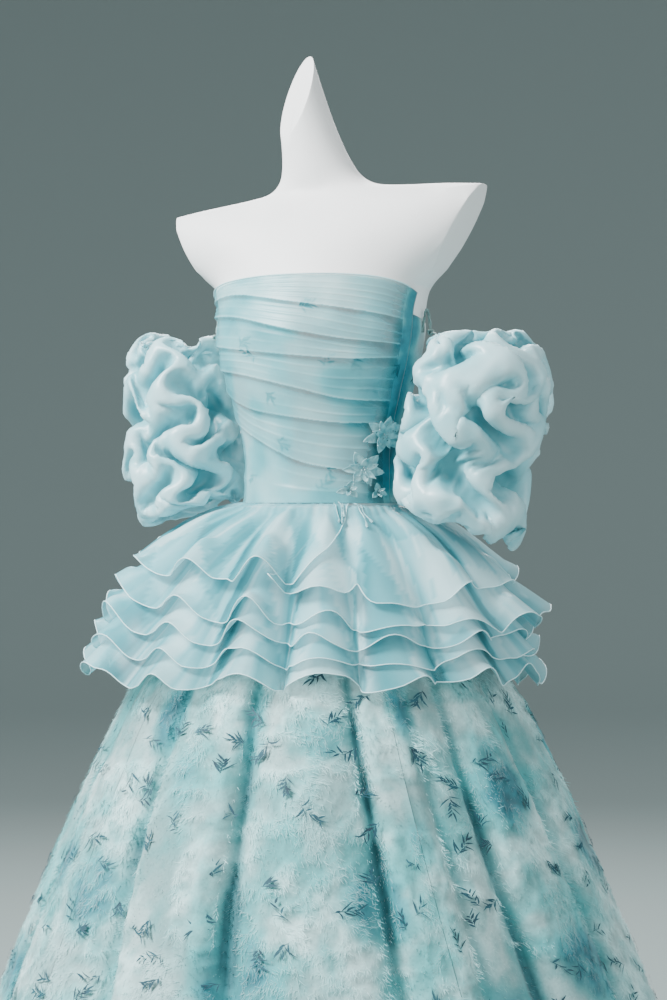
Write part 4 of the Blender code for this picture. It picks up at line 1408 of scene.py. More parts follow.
def leaf_sprigs(
    seed: int,
    places: np.ndarray,
    reach: tuple[float, float],
    width: float,
    spot: Callable[[np.ndarray, np.ndarray, np.ndarray, np.ndarray], np.ndarray],
) -> tuple[np.ndarray, np.ndarray]:
    """Draw sprigs of slender leaves on a surface.

    Args:
        seed: Which arrangement.
        places: Angle and height of each sprig.
        reach: Shortest and longest leaf in metres.
        width: Width of a leaf in metres.
        spot: Gives the point at an angle and a height, moved across and up by distances.

    Returns:
        Points and four-cornered faces.
    """
    rng = np.random.default_rng(seed)
    points = []
    corners = []
    steps = np.array([0.0, 0.3, 0.65, 1.0])
    shape = np.array([0.25, 1.0, 0.8, 0.06])
    for angle, height in places:
        aim = rng.uniform(0.0, 360.0)
        count = rng.integers(4, 11)
        stem = rng.uniform(0.50, 1.45) * reach[1]
        curve = rng.normal(0.0, 30.0)
        for leaf in range(count + 1):
            share = leaf / count
            side_turn = (1 if leaf % 2 else -1) * rng.uniform(20.0, 78.0) * (1.0 - 0.35 * share)
            turn = aim + curve * share + side_turn
            length = rng.uniform(*reach) * (1.0 - 0.25 * share)
            away = share * stem
            if leaf == 0:
                turn = aim
                length = stem
            bend = rng.normal(0.0, 16.0)
            along_turn = np.radians(turn + bend * steps)
            stem_turn = aim + 0.5 * curve * share
            start = away * np.array([cosine(stem_turn), sine(stem_turn)])
            ahead = np.stack((np.cos(along_turn), np.sin(along_turn)), axis=-1)
            centre = start + ahead * (length * steps)[:, None]
            side = np.stack((-ahead[:, 1], ahead[:, 0]), axis=-1)
            thick = 0.38 if leaf == 0 else rng.uniform(0.6, 1.35)
            half = (width / 2 * thick * shape)[:, None]
            first = len(points) * 8
            flat = np.concatenate((centre - side * half, centre + side * half))
            points.append(spot(np.full(8, angle), np.full(8, height), flat[:, 0], flat[:, 1]))
            for step in range(3):
                corners.append((first + step, first + step + 1, first + step + 5, first + step + 4))
    return np.concatenate(points), np.array(corners)


# Sub-assemblies


@dataclass
class DressForm:
    """Limbless display torso, smooth and matt white, on a pole with a round base plate."""

    edge_radius: float = 0.0016
    pole_radius: float = 0.016
    collar_radius: float = 0.024
    collar_height: float = 0.030
    base_thickness: float = 0.012
    torso_bottom: float = 0.800

    def torso(self) -> Piece:
        """Round the torso off and keep the neck's and arms' flat ends crisp.

        Returns:
            The torso.
        """
        made = merged_copy("torso_shell", "form_torso")
        pick(made)
        bpy.ops.object.mode_set(mode="EDIT")
        bpy.ops.mesh.select_all(action="SELECT")
        bpy.ops.mesh.dissolve_limited(angle_limit=math.radians(0.6))
        bpy.ops.mesh.select_all(action="DESELECT")
        bpy.ops.mesh.select_mode(type="EDGE")
        bpy.ops.mesh.edges_select_sharp(sharpness=math.radians(34))
        bpy.ops.mesh.bevel(offset=self.edge_radius, segments=2, affect="EDGES")
        bpy.ops.object.mode_set(mode="OBJECT")
        smooth_over(made, 2)
        return carry(made, FORM_WHITE, ["form_torso"])

    def stand(self) -> None:
        """Model the pole with its two collars, and give the imported base plate its finish."""
        base = frame["nodes"]["form_base"]
        STEEL.on(base)
        bpy.ops.object.select_all(action="DESELECT")
        bpy.ops.mesh.primitive_cylinder_add(
            vertices=64,
            radius=self.pole_radius,
            depth=self.torso_bottom - self.base_thickness - 0.0006,
            location=(0.0, 0.0, (self.torso_bottom + self.base_thickness) / 2),
        )
        pole = bpy.context.active_object
        pole.name = "stand_pole"
        collars = []
        half = self.collar_height / 2 + 0.0003
        for height in (self.base_thickness + half, self.torso_bottom - half):
            bpy.ops.mesh.primitive_cylinder_add(
                vertices=64,
                radius=self.collar_radius,
                depth=self.collar_height,
                location=(0.0, 0.0, height),
            )
            collar = bpy.context.active_object
            rim = collar.modifiers.new("rim", "BEVEL")
            rim.width = 0.002
            rim.segments = 3
            bpy.ops.object.modifier_apply(modifier=rim.name)
            collars.append(collar)
        made = join("stand_pole", [pole, *collars])
        pick(made)
        bpy.ops.object.transform_apply(location=True, rotation=True, scale=True)
        bpy.ops.object.shade_smooth_by_angle(angle=math.radians(40))
        carry(made, STEEL, ["form_pole"])

    def build(self) -> None:
        """Build the torso and its stand."""
        self.torso()
        self.stand()


@dataclass
class Bodice:
    """Printed bodice under an organza drape that is pleated across, with a zip at centre back."""

    side_seam: float = 76.5
    seam_gap: float = 0.1
    back_gap: float = 1.9
    cloth: float = 0.0014
    bottom: float = 1.0506
    tuck: float = 0.0055
    fine_pleats: tuple[float, ...] = (6.0, 4.0, 3.0, 4.0, 3.0, 4.0, 3.0)

    def panel(self, name: str, node: str, start: float, end: float, top: Sequence[Edge]) -> Piece:
        """Make one printed panel from the waist seam to its top edge.

        Args:
            name: The panel's name.
            node: The node that it replaces.
            start: Angle of its first side.
            end: Angle of its last side.
            top: Its top edge.

        Returns:
            The panel.
        """
        columns = int(abs(end - start) / 1.5)
        angle = np.linspace(start, end, columns)[None, :]
        share = np.linspace(0.0, 1.0, 70)[:, None]
        upper = read(top, "height", np.abs(angle) if top is BACK_TOP else angle)
        height = self.bottom + (upper - self.bottom) * share
        pucker = 0.0004 * noise(body_point(height, angle, 0.0), 0.02, 21)
        edge = 0.0009 * np.exp(-(((1.0 - share) * 0.3 / 0.006) ** 2))
        grid = body_point(height, angle, BODICE_FACE - 0.0004 + pucker * 0.5 - edge)
        made = sheet_piece(name, grid)
        ground = ("#e0ebe8", "#7cc8cf", "#e3d0ca")
        # The print colours also hold painted shade on the front panel's side, from the strong patches in
        # BODICE_BLOTCHES.
        paint(made, "print", print_colours(angle + 0 * height, height, grid, BODICE_BLOTCHES, ground))
        thicken(made, self.cloth)
        return carry(made, BODICE_PRINT, [node])

    def panels(self) -> None:
        """Make the front and the two backs, with the leaf print."""
        before, past = self.side_seam - self.seam_gap, self.side_seam + self.seam_gap
        back = 180 - self.back_gap
        front = self.panel("front_panel", "bodice_front", -before, before, FRONT_TOP)
        left = self.panel("back_panel_left", "bodice_back_left", past, back, BACK_TOP)
        right = self.panel("back_panel_right", "bodice_back_right", -back, -past, BACK_TOP)
        declare(front, 0.118)
        for panel in (left, right):
            declare(panel, 0.044)
        points, faces = leaf_sprigs(11, np.array(BODICE_SPRIGS), (0.008, 0.017), 0.0022, self.print_spot)
        leaves = piece_of("bodice_leaf_print", points, faces)
        carry(leaves, BODICE_INK)

    def print_spot(
        self, angle: np.ndarray, height: np.ndarray, across: np.ndarray, up: np.ndarray
    ) -> np.ndarray:
        """Find points of the print on the bodice.

        Args:
            angle: Angle of the sprig.
            height: Height of the sprig.
            across: Distances across from it.
            up: Distances up from it.

        Returns:
            The points.
        """
        turned = angle + np.degrees(across / read(BODY, "half_depth", height))
        return body_point(height + up, turned, BODICE_FACE + 0.0002)

    def zip(self) -> None:
        """Finish the concealed zip and its pull."""
        ZIP_TAPE.on(frame["nodes"]["back_zip"])

    def drape_out(self, height: np.ndarray, angle: np.ndarray) -> tuple[np.ndarray, np.ndarray]:
        """How far the pleats stand out, and the colour depth at each place, with painted light and shade.

        Args:
            height: Heights.
            angle: Angles.

        Returns:
            The distance out, and a colour depth from 0, with a painted highlight on a turned edge, to 1,
            with painted shadow in a tuck.
        """
        top = read(FRONT_TOP, "height", angle)
        edges = pleat_heights(angle)
        marks = np.concatenate((top[None], edges, np.full_like(top, DRAPE_BOTTOM)[None]))
        out = np.zeros(height.shape)
        depth = np.full(height.shape, 0.30)
        for band, (upper, lower) in enumerate(zip(marks, marks[1:])):
            inside = (height <= upper + 1e-9) & (height >= lower - 1e-9)
            share = np.clip((upper - height) / np.maximum(upper - lower, 1e-6), 0.0, 1.0)
            stands = PLEATS[band].stands_out if band < len(PLEATS) else 0.0012
            away = np.clip((upper - height) / self.tuck, 0.0, 1.0)
            before = PLEATS[band - 1].stands_out if band else 0.0008
            roll = before * (1 - away * away * (3 - 2 * away)) + stands * share**1.6
            ways = np.stack((angle * 0.004, share * 0.10, 0 * angle + band), axis=-1)
            phase = np.pi * self.fine_pleats[band] * share + 1.1 * noise(ways, 0.16, 51)
            strength = np.clip(0.55 + 0.9 * noise(ways, 0.13, 52), 0.0, 1.0) * np.sin(np.pi * share)
            ridge = (1.0 - np.abs(np.sin(phase))) ** 2.5
            out = np.where(inside, roll + 0.0013 * strength * ridge, out)
            # Painted highlight along the band's lower, turned edge, partly its doubled cloth, and on the
            # fine ridges; painted shadow just under the upper edge, where the pleat above overhangs.
            light = PLEATS[band].light if band < len(PLEATS) else 0.2
            edge = np.exp(-(((height - lower) / 0.0020) ** 2)) * light
            shade = np.exp(-(((upper - height) / 0.0080) ** 2)) * (0.42 if band else 0.05)
            here = 0.42 - 0.46 * edge + shade - 0.26 * strength * ridge + 0.20 * noise(ways, 0.05, 53)
            depth = np.where(inside, here, depth)
        return out, depth

    def drape(self) -> None:
        """Make the pleated organza drape."""
        angle = np.linspace(*DRAPE_EDGES, 140)[None, :]
        share = np.linspace(0.0, 1.0, 300)[:, None]
        top = read(FRONT_TOP, "height", angle) - 0.0012
        height = DRAPE_BOTTOM + (top - DRAPE_BOTTOM) * share
        angle = angle + 0 * height
        out, depth = self.drape_out(height, angle)
        edge_in = np.minimum(angle - DRAPE_EDGES[0], DRAPE_EDGES[1] - angle)
        out = out * soft_step(edge_in, 0.0, 2.5) + 0.0006 * noise(body_point(height, angle, 0.0), 0.018, 31)
        # Painted shade: the colour deepens towards both sides, most towards the wearer's left, where the
        # drape turns away from the light; it is paler above the first pleat's edge.
        wide = soft_step(np.abs(angle + 4.0), 42.0, 80.0)
        depth = depth + 0.22 * wide + 0.36 * soft_step(angle, 40.0, 62.0)
        depth = depth + 0.14 * noise(body_point(height, angle, 0.0), 0.04, 33)
        band = soft_step(height - pleat_heights(angle)[0], -0.002, 0.004)
        depth = np.clip(depth - 0.16 * band, 0.0, 1.0)
        grid = body_point(height, angle, DRAPE_FACE + np.maximum(out, -0.0004))
        made = sheet_piece("pleated_drape", grid)
        paint(made, "depth", depth)
        carry(made, DRAPE_ORGANZA, ["bodice_drape"])
        hem = tube_piece("drape_top_roll", grid[-1] + np.array([0.0, 0.0, -0.0004]), 0.0009)
        paint(hem, "depth", np.full(len(hem.data.vertices), 0.25))
        carry(hem, ORGANZA_HEM)
        declare(made, 0.13)

    def build(self) -> None:
        """Build the panels, the zip and the drape."""
        self.panels()
        self.zip()
        self.drape()


@dataclass
class Skirt:
    """Five flared gores of printed jacquard, covered with clipped eyelash yarn."""

    gores: tuple[str, ...] = ("back_right", "side_right", "front", "side_left", "back_left")
    rows: int = 180
    columns: int = 112
    seam_gap: float = 0.06
    relief: float = 0.0042
    crease: float = 0.013
    lashes: int = 30000
    yarn_top: float = 0.90
    lash_length: tuple[float, float] = (0.005, 0.011)
    lash_width: float = 0.00085
    sprig_spacing: float = 0.080

    def relief_at(self, points: np.ndarray) -> np.ndarray:
        """Scrolled relief of the jacquard.

        Args:
            points: Points on the skirt.

        Returns:
            The relief, from 0 in its flat ground to 1 on its tufts.
        """
        bends = [noise(points, 0.036, seed) for seed in (41, 42, 43)]
        bent = points + 0.014 * np.stack(bends, axis=-1)
        scroll = 1.0 - np.abs(noise(bent, 0.026, 44))
        small = 1.0 - np.abs(noise(bent, 0.010, 45))
        bare = soft_step(noise(points, 0.075, 46), 0.28, 0.50)
        return np.clip(0.70 * scroll**2 + 0.42 * small**2, 0.0, 1.0) * (1.0 - 0.85 * bare)

    def creases(self, angle: np.ndarray, height: np.ndarray) -> tuple[np.ndarray, np.ndarray]:
        """Sharp creases in the hollows of the folds, with a rolled ridge beside each.

        Args:
            angle: Angles, measured at the top of the folds.
            height: Heights.

        Returns:
            How far the cloth moves out, and how deep each place lies in a crease, from 0 to 1.
        """
        grown = np.minimum(fold_share(height) * 3.0, 1.0)
        out = np.zeros(np.broadcast(angle, height).shape)
        sunk = np.zeros(out.shape)
        for place, fold in enumerate(SKIRT_FOLDS):
            away = apart(angle, fold.angle_above) + 0.7 * sine(height * 700.0 + 80.0 * place)
            away = away + 0.9 * sine(height * 260.0 + 47.0 * place)
            strength = np.clip(fold.depth_below / 0.034, 0.4, 1.15) * grown
            side = 1.0 if place % 2 else -1.0
            out -= self.crease * strength * np.exp(-((away / 1.5) ** 2))
            out += 0.45 * self.crease * strength * np.exp(-(((away - side * 4.0) / 2.2) ** 2))
            soft = np.exp(-((away / 1.6) ** 2)) + 0.45 * np.exp(-(((away + side * 2.4) / 2.6) ** 2))
            sunk = np.maximum(sunk, soft * strength)
        return out, sunk

    def colours(
        self, angle: np.ndarray, height: np.ndarray, points: np.ndarray, relief: np.ndarray
    ) -> np.ndarray:
        """Colours of the printed ground, with painted shade between the tufts and down in the folds.

        Args:
            angle: Angles, measured at the top of the folds.
            height: Heights.
            points: The places themselves.
            relief: The jacquard's relief there.

        Returns:
            Linear colours.
        """
        ground = ("#c4ecec", "#5dbabc", "#98c0c1")
        colours = print_colours(angle, height, points, SKIRT_BLOTCHES, ground)
        mottle = noise(points, 0.022, 48) + 0.6 * noise(points, 0.010, 49)
        colours = blend(colours, linear("#63b6b8"), 0.55 * soft_step(mottle, -0.1, 0.7))
        # Painted shade between the tufts, darker where the relief is low.
        colours = colours * (0.70 + 0.34 * soft_step(relief, 0.15, 0.8))[..., None]
        # Painted shade down in the folds' creases.
        sunk = self.creases(angle, height)[1] * (0.84 + 0.55 * noise(points, 0.055, 50))
        colours = blend(colours, linear("#2f9a9f"), 0.60 * soft_step(sunk, 0.12, 0.6))
        return blend(colours, linear("#0e5f68"), 0.90 * soft_step(sunk, 0.50, 1.0))

    def gore(self, place: int, name: str) -> None:
        """Make one gore: its ground and its eyelash yarn.

        Args:
            place: The gore's place round the skirt.
            name: Its name.
        """
        width = 360.0 / len(self.gores)
        start = -180.0 + place * width
        first, last = start + self.seam_gap, start + width - self.seam_gap
        angle = np.linspace(first, last, self.columns)[None, :]
        drop = np.linspace(0.0, 1.0, self.rows)[:, None]
        height = HEM + (SKIRT_TOP - HEM) * drop
        angle = angle + 0 * height
        flat = skirt_point(angle, height)
        relief = self.relief_at(flat)
        fade = soft_step(height, HEM, HEM + 0.01) * soft_step(SKIRT_TOP - height, 0.0, 0.1)
        side = soft_step(np.minimum(angle - start, start + width - angle), 0.0, 1.2)
        raised = (relief - 0.6) * self.relief * fade * side
        grid = skirt_point(angle, height, raised + self.creases(angle, height)[0])
        cloth = sheet_piece("gore_" + name, grid)
        # The print attribute takes the ground's colours with their painted shade in the folds and between
        # the tufts.
        paint(cloth, "print", self.colours(angle, height, flat, relief))
        carry(cloth, SKIRT_PRINT, ["skirt_" + name])
        lashes = self.yarn(place, name, first, last)
        declare(cloth, 0.56)

    def yarn(self, place: int, name: str, start: float, end: float) -> Piece:
        """Make a gore's eyelash yarn as thin blades that lie over each other.

        Args:
            place: The gore's place round the skirt.
            name: Its name.
            start: Angle of its first side.
            end: Angle of its last side.

        Returns:
            The blades.
        """
        rng = np.random.default_rng(500 + place)
        count = self.lashes
        drawn = rng.uniform(0.0, 1.0, count * 2)
        radii = np.linspace(0.30, 0.60, 40)
        share = np.interp(drawn, np.cumsum(radii) / radii.sum(), np.linspace(0.0, 1.0, 40))
        height = self.yarn_top - share * (self.yarn_top - HEM - 0.012)
        angle = rng.uniform(start + 0.2, end - 0.2, len(height))
        fold_out = self.creases(angle, height)[0]
        flat = skirt_point(angle, height)
        root = skirt_point(angle, height, fold_out)
        relief = self.relief_at(flat)
        chance = 0.15 + 0.95 * soft_step(relief, 0.45, 0.75)
        kept = np.flatnonzero(rng.uniform(0.0, 1.0, len(height)) < chance)[:count]
        angle, height, root, relief, flat = (given[kept] for given in (angle, height, root, relief, flat))
        across = unit(skirt_point(angle + 0.3, height) - root)
        down = unit(skirt_point(angle, height - 0.004) - root)
        out = unit(np.cross(down, across))
        root = root + out * ((relief - 0.6) * self.relief)[:, None]
        swirl = 70.0 * noise(root, 0.045, 47) + rng.normal(0.0, 32.0, len(kept))
        aim = down * cosine(swirl)[:, None] + across * sine(swirl)[:, None]
        length = rng.uniform(*self.lash_length, len(kept)) * (0.7 + 0.5 * relief)
        rise = rng.uniform(0.25, 0.60, len(kept))
        side = unit(np.cross(aim, out)) * self.lash_width / 2
        tip = root + (aim * 0.92 + out * rise[:, None] * 0.45) * length[:, None]
        points = np.stack((root - side, root + side, tip + side * 0.3, tip - side * 0.3), axis=1)
        points[..., 2] = np.maximum(points[..., 2], 0.002)
        faces = np.arange(len(kept) * 4).reshape(-1, 4)
        made = piece_of("eyelash_" + name, points, faces)
        # The yarn takes the ground's colours with their painted shade, then turns paler where the relief is
        # higher.
        colours = self.colours(angle, height, flat, relief)
        fresh = rng.uniform(0.85, 1.15, len(kept))[:, None]
        colours = blend(colours * fresh, linear("#d3f2f3"), 0.08 + 0.16 * relief)
        paint(made, "print", np.clip(np.repeat(colours[:, None], 4, axis=1), 0.0, 1.0))
        return carry(made, YARN)

    def print_spot(
        self, angle: np.ndarray, height: np.ndarray, across: np.ndarray, up: np.ndarray
    ) -> np.ndarray:
        """Find points of the print on the skirt.

        Args:
            angle: Angle of the sprig.
            height: Height of the sprig.
            across: Distances across from it.
            up: Distances up from it.

        Returns:
            The points.
        """
        turned = angle + np.degrees(across / read(SKIRT, "half_width", height))
        level = np.maximum(height + up * 0.88, HEM + 0.004)
        return skirt_point(turned, level, 0.0052)

    def leaves(self) -> None:
        """Scatter the leaf sprigs over the whole skirt, in rows that are out of step."""
        rng = np.random.default_rng(77)
        places = []
        height = 0.880
        while height > 0.05:
            reach = float(read(SKIRT, "half_width", height))
            count = max(int(2 * math.pi * reach / self.sprig_spacing), 3)
            start = rng.uniform(0.0, 360.0 / count)
            for step in range(count):
                angle = -180.0 + start + 360.0 * step / count + rng.normal(0.0, 70.0 / count)
                places.append((apart(angle, 0.0), height + rng.normal(0.0, 0.018)))
            height -= self.sprig_spacing * 0.62
        points, faces = leaf_sprigs(78, np.array(places), (0.008, 0.024), 0.0025, self.print_spot)
        carry(piece_of("skirt_leaf_print", points, faces), SKIRT_INK)

    def build(self) -> None:
        """Build the gores and their print."""
        for place, name in enumerate(self.gores):
            self.gore(place, name)
        self.leaves()


@dataclass
class Ruffle:
    """One layer of the peplum, from its gathered edge to its rolled hem; its ends may run aslant."""

    name: str
    node: str
    layer: int
    start_z: float
    start: float
    end: float
    start_at_hem: float
    end_at_hem: float
    drop: float = 0.0
    rows: int = 40
    columns_per_degree: float = 1.0
    flute_turn: float = 3.7
    flute_lift: float = 0.006
    hem_radius: float = 0.0008
    own_lift: float = 0.016
    own_turn: float = 1.1
    fullness: float = 1.12

    def facets(self, angle: np.ndarray, share: np.ndarray) -> tuple[np.ndarray, np.ndarray]:
        """Crisp flat facets between sharp creases.

        Args:
            angle: Angles.
            share: Places from 0 at the waist to 1 at the hem.

        Returns:
            The facets' height and their slope, both from -1 to 1.
        """
        height = np.zeros(np.broadcast(angle, share).shape)
        slope = np.zeros(height.shape)
        for turns, skew, start in ((17.0, 0.55, 0.10), (11.0, -0.95, 0.43), (29.0, 0.30, 0.77)):
            bend = 0.35 * sine(angle * 4.0 + 90.0 * skew)
            place = angle * turns / 360.0 + skew * share + start + bend
            inside = place - np.floor(place)
            height += np.abs(inside - 0.5) * 4 - 1
            slope += np.where(inside < 0.5, -1.0, 1.0)
        return height / 3, slope / 3

    def surface(self) -> tuple[np.ndarray, np.ndarray]:
        """Shape the layer.

        Returns:
            Its points, from the hem up to the waist, and the colour depth at each place, with painted light
            and shade.
        """
        columns = int((self.end - self.start) * self.columns_per_degree)
        mark = np.linspace(self.start, self.end, columns)[None, :]
        part = np.linspace(1.0, 0.0, self.rows)[:, None] ** 0.9
        along = (mark - self.start) / (self.end - self.start)
        slant = (self.start_at_hem - self.start) * (1 - along) ** 3
        slant = slant + (self.end_at_hem - self.end) * along**3
        angle = mark + part * slant
        hem_reach = read(RUFFLE_HEMS, "reach_%d" % self.layer, angle) + WAVE_REACH * wave(angle)
        hem_reach = hem_reach + 0.005 * sine(angle * (6 + self.layer) + 70.0 * self.layer)
        inner = waist_reach(angle, self.start_z - 2 * RUFFLE_WALL)
        reach = inner + (hem_reach - inner) * part
        height = ruffle_height(self.layer, self.start_z, angle, reach, self.drop)
        share = np.clip((reach - 0.11) / 0.17, 0.0, 1.0)
        crest = np.clip(wave(angle), 0.0, 1.5)
        lift = self.flute_lift * share**2 * (crest**2 - 0.35)
        turn = self.flute_turn * share**2 * wave_slant(angle) * (0.75 + 0.25 * sine(angle * 3.1))
        gather = sine(angle * 61.0 + 25.0 * sine(angle * 5.0)) + 0.6 * sine(angle * 37.0 + 40.0)
        near = np.exp(-((reach - inner) / 0.050))
        gathers = 0.0013 * near * gather * soft_step(reach - inner, 0.0, 0.006)
        folded, slope = self.facets(angle, share)
        creases = 0.0060 * folded * np.sin(np.pi * np.clip(share * 1.1, 0.0, 1.0))
        above = read(RUFFLE_HEMS, "reach_%d" % max(self.layer - 1, 1), angle)
        above = above - (0.05 if self.layer == 1 else 0.0)
        beyond = soft_step(reach - above, -0.004, 0.026)
        phase = angle * (9 + 2 * self.layer) + 50.0 * self.layer
        own = sine(phase + 50.0 * sine(angle * 3.0))
        lift = lift + self.own_lift * beyond * np.clip(own, 0.0, 1.0) ** 1.5
        turn = turn + self.own_turn * beyond * sine(phase + 90.0)
        turned = angle + turn
        x = reach * sine(turned)
        y = -reach * cosine(turned)
        grid = np.stack((x, y, height + lift + gathers + creases), axis=-1)
        # Painted light and shade in the colour depth: deeper in the wave's hollows, on lower layers and
        # near the gathers, partly their extra cloth; paler on the crests; facets paler on one side than the
        # other, and streaks, as painted sheen.
        hollow = np.clip(-wave(angle), 0.0, 1.0)
        ways = np.stack((angle / 40.0, share * 0.5, 0 * share + self.layer), axis=-1)
        streak = noise(ways, 0.12, 61)
        depth = 0.30 + 0.34 * hollow * share + 0.13 * near * gather - 0.24 * crest * share
        depth = depth - 0.34 * slope * soft_step(share, 0.05, 0.5) + 0.26 * streak + 0.10 * near
        depth = depth + 0.035 * (self.layer - 1)
        return grid, np.clip(depth, 0.0, 1.0)

    def build(self, rests_on: Sequence[str]) -> Piece:
        """Build the layer with its rolled hem, and state its cut.

        Args:
            rests_on: Names of what it lies on; not used.

        Returns:
            The layer.
        """
        grid, depth = self.surface()
        made = sheet_piece(self.name, grid)
        paint(made, "depth", depth)
        carry(made, PEPLUM_ORGANZA, [self.node])
        edge = np.concatenate((grid[::-1, 0], grid[0, 1:-1], grid[:, -1]))
        hem = tube_piece(self.name + "_hem", edge, self.hem_radius)
        paint(hem, "depth", np.full(len(hem.data.vertices), 0.12))
        carry(hem, ORGANZA_HEM)
        reach = float(read(RUFFLE_HEMS, "reach_%d" % self.layer, 0.0)) * 1.07
        turn = (self.end - self.start) / 360.0
        length = 0.19 + 0.016 * self.layer
        area = turn * math.pi * (reach + 0.11) * length * self.fullness
        declare(made, area)
        return made


@dataclass
class Peplum:
    """Organza layers gathered into the waist: two halves that wrap, and four whole layers under them."""

    wrap_at_waist: float = 40.0
    wrap_at_hem: float = 15.0
    wrap_under: float = 12.0
    wrap_drop: float = 0.07

    def build(self) -> None:
        """Build the layers from the lowest up."""
        end = 180.0 - BACK_OPENING
        under = "gore_front"
        for layer in range(LOWEST_LAYER, 1, -1):
            name = "peplum_layer_%d" % layer
            start_z = WAIST_SEAM - RUFFLE_STEP * layer
            Ruffle(name, "peplum_%d" % layer, layer, start_z, -end, end, -end, end).build([under])
            under = name
        waist, hem, back = self.wrap_at_waist, self.wrap_at_hem, self.wrap_under
        left = Ruffle(
            "peplum_top_left",
            "peplum_1_left",
            1,
            WAIST_SEAM - RUFFLE_STEP,
            waist - back,
            end,
            hem - back,
            end,
            self.wrap_drop,
        )
        left.build([under])
        right = Ruffle("peplum_top_right", "peplum_1_right", 1, WAIST_SEAM, -end, waist, -end, hem)
        right.build([under, left.name])


class Spring(NamedTuple):
    """A family of springs in a grid of cloth: how many rows and columns it spans, and its stiffness."""

    down: int
    across: int
    stiffness: float


SPRINGS = (
    Spring(1, 0, 1.0),
    Spring(0, 1, 1.0),
    Spring(1, 1, 0.5),
    Spring(1, -1, 0.5),
    Spring(3, 0, 0.12),
    Spring(0, 3, 0.12),
    Spring(6, 0, 0.12),
    Spring(0, 6, 0.12),
)


